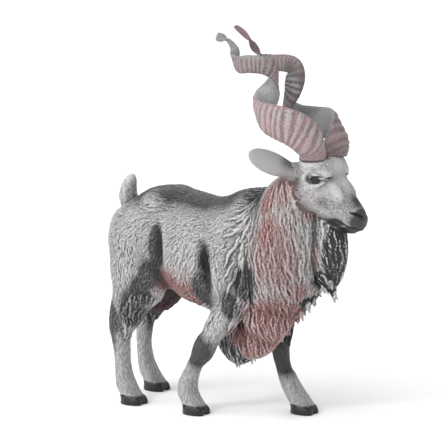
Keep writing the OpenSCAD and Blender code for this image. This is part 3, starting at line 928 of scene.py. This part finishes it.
def kept_values(mesh, name):
    """What keep_values stored."""
    marks = mesh.attributes[name]
    if marks.data_type == "FLOAT_VECTOR":
        return read_all(marks.data, "vector", 3)
    return read_all(marks.data, "value", 1)


def fill_cut_points(piece):
    """Gives the points that a cut made what the nearest sculpted point has."""
    mesh = piece.data
    new = np.linalg.norm(kept_values(mesh, "normal"), axis=1) < 0.5
    if not new.any():
        return
    places = read_all(mesh.vertices, "co", 3)
    old = np.flatnonzero(~new)
    tree = tree_of(places[old])
    nearest = old[[tree.find(p)[1] for p in places[new]]]
    for name in ("relief", "tint", "normal"):
        values = kept_values(mesh, name)
        values[new] = values[nearest]
        mesh.attributes.remove(mesh.attributes[name])
        keep_values(piece, name, values)


def carry_normals(piece):
    """Gives the skin the normals that it had before it was cut, so that the glue joints don't show."""
    mesh = piece.data
    kept = unit(kept_values(mesh, "normal"))
    corners = read_all(mesh.loops, "vertex_index", 1, np.int32)
    sides = read_all(mesh.polygons, "loop_total", 1, np.int32)
    flat = np.repeat(read_all(mesh.polygons, "normal", 3), sides, 0)
    facing_alike = 0.25
    skin = (kept[corners] * flat).sum(1) > facing_alike
    mesh.normals_split_custom_set(np.where(skin[:, None], kept[corners], flat).tolist())
    mesh.attributes.remove(mesh.attributes["normal"])


# A station of the ear is a share of its length, half its width, half its thickness, and its cup's depth.
EAR = [(0, 1.7, 1.4, 0), (0.1, 1.9, 1.3, 0), (0.22, 2.5, 0.95, 0.5), (0.42, 3.1, 0.6, 1.15),
       (0.66, 3.05, 0.5, 1.1), (0.85, 2.35, 0.45, 0.7), (0.95, 1.4, 0.4, 0.3), (1, 0.45, 0.2, 0.05)]


def shape_ear(side, joints):
    """A leaf-shaped ear, hollow in front, with a thicker rim."""
    length, sign = joints.ear_length / MM, SIDES[side]
    stations = refine(EAR, 12)
    around = 48
    angle = 2 * math.pi * np.arange(around) / around
    place = np.array(ear_place(sign))
    rings, inside = [], []
    for share, half, thick, cup in stations:
        u = half * np.cos(angle)
        rim = 1 + 0.5 * np.abs(np.cos(angle)) ** 6
        v = thick * np.sin(angle) * rim + cup * ((u / half) ** 2 - 0.5) * sign
        ring = np.stack([u, v, np.full(around, share * length), np.ones(around)], 1)
        rings.append((ring @ place.T)[:, :3])
        inside.append(np.clip(sign * np.sin(angle) * 3, -1, 1) * min(1, share * 6))
    ear = skin_over(rings, "ear_" + side)
    keep_values(ear, "inside", np.concatenate(inside))
    keep_values(ear, "share", np.repeat(stations[:, 0], around))
    return ear


# ---- Paint: shader sums written as Python ---------------------------------------


# A colour Mix node's sockets, which share their names with its other kinds.
MIX_SHARE, MIX_A, MIX_B, MIX_RESULT = 0, 6, 7, 2


class Sum:
    """A socket that can be used in arithmetic. Each sum adds its Math node."""

    def __init__(self, shader, socket):
        self.shader, self.socket = shader, socket

    def math(self, operation, *others, clamp=False):
        inputs = dict(enumerate([self, *others]))
        return self.shader.node("ShaderNodeMath", {"operation": operation, "use_clamp": clamp}, inputs)

    def __add__(self, other):
        return self.math("ADD", other)

    def __sub__(self, other):
        return self.math("SUBTRACT", other)

    def __rsub__(self, other):
        return self.math("MULTIPLY_ADD", -1.0, other)

    def __mul__(self, other):
        return self.math("MULTIPLY", other)

    __radd__, __rmul__ = __add__, __mul__

    def clamped(self):
        """The same, held between 0 and 1."""
        return self.math("ADD", 0.0, clamp=True)

    def rise(self, low, high):
        """0 below low and 1 above high, smooth between. It falls where low is above high."""
        ends = {"From Min": low, "From Max": high, "To Min": 0.0, "To Max": 1.0}
        if low > high:
            ends.update({"From Min": high, "From Max": low, "To Min": 1.0, "To Max": 0.0})
        settings = {"interpolation_type": "SMOOTHSTEP"}
        return self.shader.node("ShaderNodeMapRange", settings, {"Value": self, **ends})


class Shader:
    """A material that is built up as expressions. Lengths are in millimetres."""

    def __init__(self, name):
        self.material = bpy.data.materials.new(name)
        self.material.use_nodes = True
        self.nodes, self.links = self.material.node_tree.nodes, self.material.node_tree.links
        self.surface = self.nodes["Principled BSDF"]
        coords = self.node("ShaderNodeTexCoord", {}, {}, "Object")
        self.place = self.vector("SCALE", {0: coords, "Scale": 1 / MM})
        split = self.node("ShaderNodeSeparateXYZ", {}, {"Vector": self.place}, None)
        self.x, self.y, self.z = (Sum(self, split.outputs[i]) for i in range(3))
        self.away = self.y.math("ABSOLUTE")

    def node(self, kind, settings, inputs, output=0):
        """Adds a node of any kind: its settings first, then its sockets' values or links."""
        made = self.nodes.new(kind)
        for key, value in settings.items():
            setattr(made, key, value)
        self.fill(made, inputs)
        return made if output is None else Sum(self, made.outputs[output])

    def vector(self, operation, inputs, output="Vector"):
        return self.node("ShaderNodeVectorMath", {"operation": operation}, inputs, output)

    def mark(self, name):
        """A value that the mesh carries."""
        return self.node("ShaderNodeAttribute", {"attribute_name": name}, {}, "Fac")

    def noise(self, wavelength, detail=3.0, stretch=(1, 1, 1), low=0.35, high=0.65):
        """Clouds from 0 to 1. Noise under low gives 0 and over high gives 1."""
        where = self.vector("MULTIPLY", {0: self.place, 1: stretch})
        inputs = {"Vector": where, "Scale": 1 / wavelength, "Detail": detail}
        return self.node("ShaderNodeTexNoise", {}, inputs, "Fac").rise(low, high)

    def zone(self, centre, radii, edge=0.5):
        """1 inside an ellipsoid, fading to 0 at its surface."""
        off = self.vector("SUBTRACT", {0: self.place, 1: centre})
        off = self.vector("DIVIDE", {0: off, 1: radii})
        return self.vector("LENGTH", {0: off}, "Value").rise(1.0, 1.0 - edge)

    def pair(self, centre, radii, edge=0.5):
        """The same zone on both sides."""
        right = self.zone((centre[0], -centre[1], centre[2]), radii, edge)
        return right.math("MAXIMUM", self.zone(centre, radii, edge))

    def mix(self, share, a, b):
        """Colour a, with a share of colour b over it."""
        a, b = (colour if isinstance(colour, Sum) else (*colour, 1) for colour in (a, b))
        inputs = {MIX_SHARE: share, MIX_A: a, MIX_B: b}
        return self.node("ShaderNodeMix", {"data_type": "RGBA"}, inputs, MIX_RESULT)

    def fill(self, made, inputs):
        """Sets or links a node's sockets."""
        for key, value in inputs.items():
            if isinstance(value, Sum):
                self.links.new(value.socket, made.inputs[key])
            else:
                made.inputs[key].default_value = value

    def finish(self, inputs, bump=None):
        """Feeds the surface. A bump is a height from 0 to 1 and how many millimetres 1 stands for."""
        if bump:
            height, distance = bump
            relief = {"Height": height, "Distance": distance * MM, "Strength": 1.0}
            inputs["Normal"] = self.node("ShaderNodeBump", {}, relief, "Normal")
        self.fill(self.surface, inputs)
        return self.material


# A zone of paint is a centre, radii, how much of it is soft edge, and strength. These lie on both sides.
# Charcoal airbrushing on the coat; the zones along the hollows before the thigh and behind the shoulder are
# painted shade.
CHARCOAL_AND_SHADE = [
    ((-19.4, 13.5, 46.5), (3.2, 9, 9.5), 0.7, 1.0), ((-21.5, 13, 38.5), (4.6, 9, 6.5), 0.85, 1.0),
    ((-27.5, 11.5, 28), (6, 9, 8.5), 0.8, 1.0), ((-24.5, 12, 33.5), (5, 9, 6.5), 0.8, 1.0),
    ((-1.8, 14, 44.4), (3.4, 9, 7.5), 0.85, 1.0), ((-3.6, 12, 36.5), (4, 9, 8), 0.85, 1.0),
    ((10.8, 12, 39.4), (4.8, 10, 7.4), 0.8, 1.0),
    ((5.6, 11, 33.0), (3.8, 8, 6.5), 0.85, 1.0), ((-35.0, 9.5, 24.6), (5.2, 9, 7.5), 0.8, 1.0),
    ((-35.2, 9.5, 18.5), (3.0, 8, 6), 0.9, 0.7),
]
RUST = [
    ((15.4, 8.5, 62.5), (3.2, 7, 7.5), 0.9, 0.85), ((17.2, 11, 53.5), (4, 6, 8.5), 0.95, 0.8),
    ((26.8, 5.5, 58.2), (6.6, 4, 2.4), 0.9, 0.3), ((20, 8, 46), (7, 9, 8), 0.95, 0.35),
    ((16.5, 3, 30), (14, 15, 11), 0.8, 1.0), ((9, 3, 22.5), (12, 13, 9), 0.7, 1.0),
    ((-15.5, 9, 36.6), (7, 11, 6), 0.8, 1.0), ((-9, 9, 34.4), (9, 11, 6), 0.8, 1.0),
    ((22.6, 4, 38.6), (5, 8, 6.5), 0.8, 0.6),
]
BLUSH = [((18.5, 9, 48), (10, 12, 17), 0.9, 0.8), ((24, 6, 60.5), (6, 7, 6), 0.9, 0.3),
         ((19.5, 8, 65), (6, 9, 6.5), 0.9, 1.0), ((29, 2, 47), (5, 12, 10), 0.9, 0.25),
         ((-9, 12, 39), (11, 8, 7), 0.95, 0.22), ((29.6, 6, 63.2), (3.2, 4, 2.2), 0.9, 0.3),
         ((20.4, 6, 66.4), (2.4, 5, 2.6), 0.9, 0.5), ((9.5, 9, 14), (2.2, 4, 7), 0.8, 0.8)]
MUZZLE = [((41.6, 0, 57.8), (6.8, 8, 5.6), 0.8, 1.0), ((37.4, 0, 54.2), (6.4, 8, 3.6), 0.6, 1.0),
          ((39, 0, 64), (3.6, 4.4, 7.6), 0.95, 0.6), ((34.0, 3.4, 57.2), (5, 4, 2.4), 0.9, 0.7)]
BROW = [((29.8, 6.6, 69.85), (2.8, 2, 0.5), 0.8, 0.7), ((33.0, 4.8, 69.4), (2.4, 2, 0.5), 0.8, 0.6)]
EYE_FRONT = (EYE[0] + 0.1, EYE[1] + 0.75, EYE[2])
EYE_SIZE = (1.5, 1.85, 1.15)
EYE_LINER = (1.75, 2.0, 1.35)
# These lie only where they say.
# Maroon between the hind legs: partly the coat's colour, partly painted shade.
INNER_THIGH_MAROON_AND_SHADE = [((-28, 2.6, 29.5), (14, 7, 10.5), 0.2, 1.0)]
FORE_KNEES = [((-6.2, -9, 19), (7, 9, 8), 0.85, 1.0), ((10.4, 9, 17), (7.6, 9, 9.4), 0.6, 1.0)]
FRINGE_DARK = [((0.4, 0, 17.2), (6.2, 8, 6), 0.6, 1.0), ((-3.5, 0, 21.6), (5, 8, 6), 0.7, 1.0),
               ((4.2, 0, 26.5), (4.6, 9, 6), 0.9, 0.6)]
BEARD_DARK = [((33.6, 0, 48), (6.2, 9, 13.5), 0.7, 0.8), ((29.8, 0, 40), (5.2, 9, 6.4), 0.8, 0.8),
              ((24.5, 0, 33.6), (4.6, 9, 4.2), 0.8, 0.55)]


class Coat(Shader):
    """The airbrushed and dry-brushed paint that the whole body shares, part by part."""

    def __init__(self, name, tones):
        super().__init__(name)
        self.tones = tones
        self.relief, self.tint = self.mark("relief"), self.mark("tint")
        self.speck = self.noise(0.45, 2.0, low=0.25, high=0.75)
        self.cloud = self.noise(5.0, 3.0, low=0.3, high=0.7)
        self.stroke = self.noise(0.3, 2.0, (1, 1, 0.28), 0.3, 0.7)
        self.brushed = self.relief + (self.tint - 0.5) * 0.16 + (self.stroke - 0.5) * 0.24

    def hair(self, groove, ridge, low=0.3, high=0.78):
        """A wash that pools in the grooves, under a lighter colour on the ridges."""
        return self.mix(self.brushed.rise(low, high), groove, ridge)

    def spray(self, zones, mirrored=True):
        """How thickly a colour lies: the strongest of its zones, with a cloudy and speckled edge."""
        place = self.pair if mirrored else self.zone
        total = None
        for centre, radii, edge, strength in zones:
            zone = place(centre, radii, edge) * strength
            total = zone if total is None else total.math("MAXIMUM", zone)
        return (total * (1.5 + self.cloud * 0.8) + (self.speck - 0.5) * 0.12).clamped()

    def body(self):
        """The grey coat with its charcoal, which is partly painted shade in the hollows, and its red-brown.
        """
        t = self.tones
        grey = self.hair(t.grey * 0.3, t.grey, 0.12, 0.55)
        grey = self.mix(self.brushed.rise(0.55, 0.95), grey, t.pale)
        spine = self.z.rise(53.5, 60) * self.away.rise(12, 4) * self.x.rise(15, 9)
        spine = spine * (1.2 + self.cloud * 0.6) * self.x.rise(-37, -29)
        dark = self.hair(t.charcoal * 0.3, t.charcoal * 2, 0.2, 0.8)
        dark = self.mix(self.brushed.rise(0.75, 1.15), dark, t.grey)
        rust = self.hair(t.rust * 0.35, t.rust, 0.1, 0.6)
        rust = self.mix(self.brushed.rise(0.66, 1.05), rust, t.blush)
        blush = self.mix(0.4, t.rust, t.grey)
        blush = self.mix(self.brushed.rise(0.1, 0.55), t.rust * 0.5, blush)
        blush = self.mix(self.brushed.rise(0.6, 1.02), blush, t.blush)
        colour = self.mix(self.spray(BLUSH), grey, blush)
        colour = self.mix(self.spray(RUST), colour, rust)
        colour = self.mix(spine.clamped(), colour, dark)
        # charcoal airbrushing, with painted shade in the hollows before the thigh and behind the shoulder
        return self.mix(self.spray(CHARCOAL_AND_SHADE), colour, dark)

    def legs(self, colour):
        """Black hooves, dark knees and hocks."""
        t = self.tones
        dark = self.hair(t.charcoal * 0.4, t.charcoal * 2, 0.1, 0.9)
        colour = self.mix(self.z.rise(26, 15) * 0.25, colour, t.grey * 0.35)
        colour = self.mix(self.spray(FORE_KNEES, False), colour, dark)
        edge = self.z + (self.speck - 0.5) * 0.5
        return self.mix(edge.rise(2.75, 2.35), colour, t.black)

    def long_hair(self, colour):
        """The ruff is dark along the fringe, and under the chin it turns into the beard."""
        t = self.tones
        dark = self.hair(t.charcoal * 0.25, t.charcoal, 0.1, 0.7)
        dark = self.mix(self.brushed.rise(0.65, 0.95), dark, t.pale * 0.8)
        colour = self.mix(self.spray(FRINGE_DARK, False), colour, dark)
        near = self.spray(BEARD_DARK, False) + (self.tint - 0.5) * 0.35
        return self.mix(near.rise(0.35, 0.65), colour, self.beard())

    def beard(self):
        """Nearly black, with pale strands."""
        t = self.tones
        tipped = self.relief + (self.tint - 0.5) * 0.35
        return self.mix(tipped.rise(0.76, 1.08), self.hair(t.charcoal * 0.3, t.charcoal, 0.15, 0.8), t.pale)

    def maroon_thigh(self, colour):
        """Dark maroon on the thighs' inner sides, the far one most: partly the coat's colour, partly painted
        shade.
        """
        maroon = self.tones.maroon
        return self.mix(self.spray(INNER_THIGH_MAROON_AND_SHADE, False), colour, self.hair(maroon * 0.7, maroon * 1.5))

    def face(self, colour):
        """A pale face with dark ear roots, nose, lips and chin, and glossy black eyes."""
        t = self.tones
        pale = self.mix(self.brushed.rise(0.2, 0.7), t.grey, t.pale)
        colour = self.mix(self.zone((31, 0, 67), (9, 10, 9), 0.7) * 0.8, colour, pale)
        # Dark ear roots in charcoal and rust: partly the coat's colour, partly painted shade where the ears
        # meet the head.
        root = self.pair((21.8, 7, 70.8), (3.6, 3.6, 3.2), 0.8)
        colour = self.mix(root * (0.5 + self.speck * 0.4), colour, self.mix(self.stroke, t.charcoal, t.rust))
        dark = self.hair(t.charcoal * 0.5, t.charcoal * 1.6, 0.3, 0.9)
        colour = self.mix(self.spray(MUZZLE), colour, dark)
        colour = self.mix(self.spray(BROW), colour, t.charcoal)
        colour = self.mix(self.pair(EYE_FRONT, EYE_LINER, 0.3) * 0.5, colour, t.charcoal)
        return self.mix(self.pair(EYE_FRONT, EYE_SIZE, 0.12), colour, t.black)


class Tone(tuple):
    """A paint colour that can be thinned or darkened by a number."""

    def __mul__(self, share):
        return Tone(min(1.0, c * share) for c in self)

    __rmul__ = __mul__


class Tones:
    """The colours that the user chose."""

    def __init__(self, settings):
        for name in settings.__annotations__:
            setattr(self, name, Tone(getattr(settings, name)))


def painted(name, tones, *parts):
    """A body material: the shared coat, then the parts that this piece also shows."""
    coat = Coat(name, tones)
    colour = coat.body()
    for part in parts:
        colour = getattr(coat, part)(colour)
    rough = 0.32 + 0.22 * coat.speck
    if "legs" in parts:
        rough = rough * (1 - 0.45 * coat.z.rise(2.6, 2.2))
    if "face" in parts:
        rough = rough * (1 - 0.85 * coat.pair(EYE_FRONT, EYE_SIZE, 0.1))
    height = coat.noise(0.16, 2.0, low=0.2, high=0.8)
    inputs = {"Base Color": colour, "Roughness": rough, "Specular IOR Level": 0.36}
    return coat.finish(inputs, (height, 0.035))


def horn_paint(tones):
    """Grey horn, with mauve washed into the growth rings and its pale ridges dry-brushed."""
    horn = Shader("horn_paint")
    relief, face_out = horn.mark("relief"), horn.mark("face_out")
    speck, cloud = horn.noise(0.5, 2.0, low=0.25, high=0.75), horn.noise(4.5, low=0.35, high=0.65)
    mauve = horn.mix(cloud, tones.mauve, tones.mauve * 1.5)
    ridge = horn.mix(cloud, tones.pale * 0.66, tones.blush * 0.82)
    ribbed = horn.mix((relief + (speck - 0.5) * 0.9).rise(0.05, 1.0), mauve, ridge)
    smooth = horn.mix((relief + (speck - 0.5) * 0.3).rise(0.3, 0.9), tones.grey * 0.95, tones.pale * 0.75)
    colour = horn.mix(face_out.rise(-0.2, 0.15), smooth, ribbed)
    foot = horn.mix(speck, tones.mauve * 1.3, tones.blush * 0.6)
    colour = horn.mix(horn.z.rise(HORN_SEAT_Z + 4, HORN_SEAT_Z + 1) * 0.7, colour, foot)
    tip = horn.mix(horn.y.rise(-1.5, 1.5), tones.pale * 0.66, tones.mauve * 1.2)
    colour = horn.mix(horn.z.rise(99.8, 101), colour, horn.mix(speck * 0.5, tip, tones.mauve))
    # Painted shade: charcoal darkens the whole far horn, most of all round its second coil, and both horns a
    # little above z 92.
    shade = horn.y.rise(1, 2.5) * (0.35 + horn.zone((15, 4, 93), (8, 7, 9), 0.8) * 0.6)
    shade = shade.math("MAXIMUM", horn.z.rise(92, 96) * 0.28)
    colour = horn.mix(shade, colour, tones.charcoal)
    colour = horn.mix(horn.z.rise(HORN_SEAT_Z + 0.4, HORN_SEAT_Z + 0.1) * 0.7, colour, tones.charcoal)
    height = horn.noise(0.3, 3.0, (1, 1, 1), 0.2, 0.8)
    return horn.finish({"Base Color": colour, "Roughness": 0.4 + 0.2 * speck}, (height, 0.05))


def ear_paint(tones):
    """Pale inside, grey behind, with a darker root."""
    ear = Shader("ear_paint")
    inside, share = ear.mark("inside"), ear.mark("share")
    speck = ear.noise(0.5, 2.0, low=0.2, high=0.8)
    colour = ear.mix(inside.rise(-0.3, 0.5), tones.grey * 1.25, tones.pale * 0.95)
    colour = ear.mix(speck * 0.2, colour, tones.grey)
    # Painted shade: darker towards the root, and charcoal round the root where the ear meets the head.
    colour = ear.mix(share.rise(0.6, 0.1) * 0.45, colour, tones.grey * 0.8)
    root = ear.mix(speck, tones.charcoal * 2, tones.grey * 0.6)
    colour = ear.mix(ear.pair((21.6, 7.2, 72.8), (4.0, 3.8, 3.2), 0.9), colour, root)
    colour = ear.mix(ear.pair((19.6, 7.4, 69.6), (4, 4, 3), 0.9), colour, tones.rust)
    height = ear.noise(0.5, 3.0, (1, 1, 0.4), 0.2, 0.8)
    return ear.finish({"Base Color": colour, "Roughness": 0.45 + 0.15 * speck}, (height, 0.05))


# ---- Making each piece -----------------------------------------------------------


def sculpture():
    """The whole sculpted body, made once and shared by the pieces that are cut from it."""
    if "sculpture" in bpy.data.objects:
        return bpy.data.objects["sculpture"]
    points, quads, marks = make_sculpture(bpy.context.scene.markhor_sculpt)
    whole = solid("sculpture", [], [])
    mesh = whole.data
    mesh.vertices.add(len(points))
    mesh.vertices.foreach_set("co", (points * MM).astype(np.float32).ravel())
    mesh.loops.add(quads.size)
    mesh.loops.foreach_set("vertex_index", quads.ravel().astype(np.int32))
    mesh.polygons.add(len(quads))
    mesh.polygons.foreach_set("loop_start", np.arange(0, quads.size, 4, dtype=np.int32))
    mesh.update(calc_edges=True)
    for name, values in marks.items():
        keep_values(whole, name, values)
    return whole


def finished_material(key):
    """One material for each kind of piece, made the first time it is asked for."""
    if key in bpy.data.materials:
        return bpy.data.materials[key]
    tones = Tones(bpy.context.scene.markhor_paint)
    if key == "horn_paint":
        return horn_paint(tones)
    if key == "ear_paint":
        return ear_paint(tones)
    return painted(key, tones, *COAT_PARTS[key])


COAT_PARTS = {
    "trunk_paint": ["maroon_thigh"],
    "leg_paint": ["legs", "maroon_thigh"],
    "ruff_paint": ["long_hair"],
    "beard_paint": ["long_hair"],
    "head_paint": ["face"],
}


class MARKHOR_OT_torso(bpy.types.Operator):
    """Makes the trunk, with a socket for each leg, for the tail and for the neck"""
    bl_idname = "markhor.torso"
    bl_label = "Torso"

    def execute(self, context):
        joints = context.scene.markhor_joints
        gap = joints.glue_gap / MM
        torso = cast("torso", block((-FAR, NECK_CUT_X), (-FAR, FAR), (0, FAR)))
        for room in [ruff_room(), tail_room(), *(leg_room(leg) for leg in LEGS)]:
            cut(torso, room)
        for hole in [neck_tenon(gap), tail_peg(gap), *(leg_peg(leg, joints, gap) for leg in LEGS)]:
            cut(torso, hole)
        dress(torso, "torso", finished_material("trunk_paint"))
        return {"FINISHED"}


class MARKHOR_OT_neck_ruff(bpy.types.Operator):
    """Makes the neck with its long ruff and the fringe that hangs between the forelegs"""
    bl_idname = "markhor.neck_ruff"
    bl_label = "Neck and ruff"

    def execute(self, context):
        joints = context.scene.markhor_joints
        gap = joints.glue_gap / MM
        ruff = cast("neck_ruff", ruff_room())
        cut(ruff, head_tenon(gap))
        cut(ruff, beard_peg(gap))
        cut(ruff, neck_tenon(), "UNION")
        dress(ruff, "neck_ruff", finished_material("ruff_paint"))
        return {"FINISHED"}


class MARKHOR_OT_beard(bpy.types.Operator):
    """Makes the beard that hangs under the chin"""
    bl_idname = "markhor.beard"
    bl_label = "Beard"

    def execute(self, context):
        beard = cut(cast("beard", beard_room()), beard_peg(), "UNION")
        dress(beard, "beard", finished_material("beard_paint"))
        return {"FINISHED"}


class MARKHOR_OT_head(bpy.types.Operator):
    """Makes the head, with seats and sockets for the horns and the ears"""
    bl_idname = "markhor.head"
    bl_label = "Head"

    def execute(self, context):
        joints = context.scene.markhor_joints
        gap = joints.glue_gap / MM
        head = cast("head", head_room())
        for side in SIDES.values():
            foot = oval(HORN_FOOT[0], -side * HORN_FOOT[1], *HORN_SEAT, 32)
            cut(head, extruded(foot, HORN_SEAT_Z, HORN_SEAT_Z + 8))
            cut(head, horn_peg(side, joints, gap))
            cut(head, extruded(oval(0, 0, *EAR_SEAT, 24), 0, 6, ear_place(side)))
            cut(head, ear_peg(side, gap))
        cut(head, head_tenon(), "UNION")
        dress(head, "head", finished_material("head_paint"))
        return {"FINISHED"}


class MARKHOR_OT_legs(bpy.types.Operator):
    """Makes the four legs, each with its peg"""
    bl_idname = "markhor.legs"
    bl_label = "Legs"

    def execute(self, context):
        joints = context.scene.markhor_joints
        for leg in LEGS:
            piece = cut(cast(leg, leg_room(leg)), leg_peg(leg, joints), "UNION")
            dress(piece, leg, finished_material("leg_paint"))
        return {"FINISHED"}


class MARKHOR_OT_tail(bpy.types.Operator):
    """Makes the short upturned tail"""
    bl_idname = "markhor.tail"
    bl_label = "Tail"

    def execute(self, context):
        tail = cut(cast("tail", tail_room()), tail_peg(), "UNION")
        dress(tail, "tail", finished_material("trunk_paint"))
        return {"FINISHED"}


class MARKHOR_OT_horns(bpy.types.Operator):
    """Makes the two corkscrew horns with their growth rings"""
    bl_idname = "markhor.horns"
    bl_label = "Horns"

    def execute(self, context):
        joints = context.scene.markhor_joints
        rng = np.random.default_rng(context.scene.markhor_sculpt.seed)
        for side, sign in SIDES.items():
            horn = cut(shape_horn(side, joints, rng), horn_peg(sign, joints), "UNION")
            dress(horn, "horn_" + side, finished_material("horn_paint"))
        return {"FINISHED"}


class MARKHOR_OT_ears(bpy.types.Operator):
    """Makes the two leaf-shaped ears"""
    bl_idname = "markhor.ears"
    bl_label = "Ears"

    def execute(self, context):
        joints = context.scene.markhor_joints
        for side, sign in SIDES.items():
            ear = cut(shape_ear(side, joints), ear_peg(sign), "UNION")
            dress(ear, "ear_" + side, finished_material("ear_paint"))
        return {"FINISHED"}


class MARKHOR_OT_stage(bpy.types.Operator):
    """Sets a pale floor, soft studio light and the camera"""
    bl_idname = "markhor.stage"
    bl_label = "Stage"

    def execute(self, context):
        make_floor()
        for lamp in LAMPS:
            add_lamp(*lamp)
        make_world()
        add_camera()
        context.scene.view_settings.view_transform = "Standard"
        return {"FINISHED"}


# A lamp is a name, a kind, where it hangs round the middle of the goat in metres, its width (an angle for the
# sun), its power and its tint.
LAMPS = [
    ("key", "SUN", (-0.26, -0.46, 0.5), 1.3, 1.7, (1.0, 0.99, 0.98)),
    ("rim", "AREA", (-0.3, 0.45, 0.45), 0.3, 0.5, (1.0, 1.0, 1.0)),
    ("spark", "AREA", (-0.1, -0.55, 0.45), 0.09, 1.1, (1.0, 1.0, 1.0)),
]
VIEW_AT = Vector((-4, -1, 53)) * MM
VIEW_AZIMUTH, VIEW_ELEVATION = math.radians(34.5), math.radians(9.5)
VIEW_DISTANCE = 0.7
SKY = 0.8            # how bright the white surroundings are
LENS = 202.5


def make_floor():
    """A pale floor, wide enough to fill the view."""
    half = 1500
    corners = [(-half, -half, 0), (half, -half, 0), (half, half, 0), (-half, half, 0)]
    floor = solid("floor", corners, [[0, 1, 2, 3]])
    floor_paint = Shader("floor_paint")
    soft = floor_paint.noise(300, 1.0, low=0.2, high=0.8)
    colour = floor_paint.mix(soft, (0.93, 0.93, 0.93), (0.96, 0.96, 0.96))
    floor.data.materials.append(floor_paint.finish({"Base Color": colour, "Roughness": 0.9}))


def add_lamp(name, kind, place, width, power, tone):
    """Hangs a lamp and points it at the middle of the goat."""
    light = bpy.data.lights.new(name, kind)
    light.energy, light.color = power, tone
    setattr(light, "angle" if kind == "SUN" else "size", width)
    lamp = bpy.data.objects.new(name, light)
    bpy.context.scene.collection.objects.link(lamp)
    lamp.location = Vector(place) + VIEW_AT
    lamp.rotation_euler = (VIEW_AT - lamp.location).to_track_quat("-Z", "Y").to_euler()


def make_world():
    """White surroundings."""
    world = bpy.data.worlds.new("studio")
    world.use_nodes = True
    sky = world.node_tree.nodes["Background"].inputs
    sky["Color"].default_value = (1, 1, 1, 1)
    sky["Strength"].default_value = SKY
    bpy.context.scene.world = world


def add_camera():
    """A long lens, looking at the goat from its front right and a little above."""
    camera = bpy.data.objects.new("camera", bpy.data.cameras.new("camera"))
    bpy.context.scene.collection.objects.link(camera)
    flat = math.cos(VIEW_ELEVATION)
    away = Vector((math.sin(VIEW_AZIMUTH) * flat, -math.cos(VIEW_AZIMUTH) * flat, math.sin(VIEW_ELEVATION)))
    camera.location = VIEW_AT + away * VIEW_DISTANCE
    camera.rotation_euler = (-away).to_track_quat("-Z", "Y").to_euler()
    camera.data.lens = LENS
    camera.data.sensor_width = 36
    camera.data.clip_start = 0.05
    bpy.context.scene.camera = camera


# ---- The add-on -------------------------------------------------------------------

PIECES = (MARKHOR_OT_torso, MARKHOR_OT_neck_ruff, MARKHOR_OT_beard, MARKHOR_OT_head, MARKHOR_OT_legs,
          MARKHOR_OT_tail, MARKHOR_OT_horns, MARKHOR_OT_ears, MARKHOR_OT_stage)


class MARKHOR_PT_tools(bpy.types.Panel):
    """Lists the sizes, the colours and the pieces"""
    bl_label = "Painted Markhor"
    bl_space_type = "VIEW_3D"
    bl_region_type = "UI"
    bl_category = "Markhor"

    def draw(self, context):
        for group in SETTINGS:
            settings = getattr(context.scene, group)
            for name in settings.__annotations__:
                self.layout.prop(settings, name)
        for piece in PIECES:
            self.layout.operator(piece.bl_idname)


SETTINGS = {"markhor_sculpt": MarkhorSculpt, "markhor_joints": MarkhorJoints, "markhor_paint": MarkhorPaint}


def register():
    for made in (*SETTINGS.values(), *PIECES, MARKHOR_PT_tools):
        bpy.utils.register_class(made)
    for name, kind in SETTINGS.items():
        setattr(bpy.types.Scene, name, PointerProperty(type=kind))


def unregister():
    for name in SETTINGS:
        delattr(bpy.types.Scene, name)
    for made in reversed((*SETTINGS.values(), *PIECES, MARKHOR_PT_tools)):
        bpy.utils.unregister_class(made)


def main():
    """Makes every piece and the stage."""
    register()
    sculpture()
    for piece in PIECES:
        getattr(bpy.ops.markhor, piece.bl_idname.split(".")[1])()
    bpy.data.objects.remove(bpy.data.objects["sculpture"])
    bpy.context.view_layer.update()


if __name__ == "__main__":
    main()
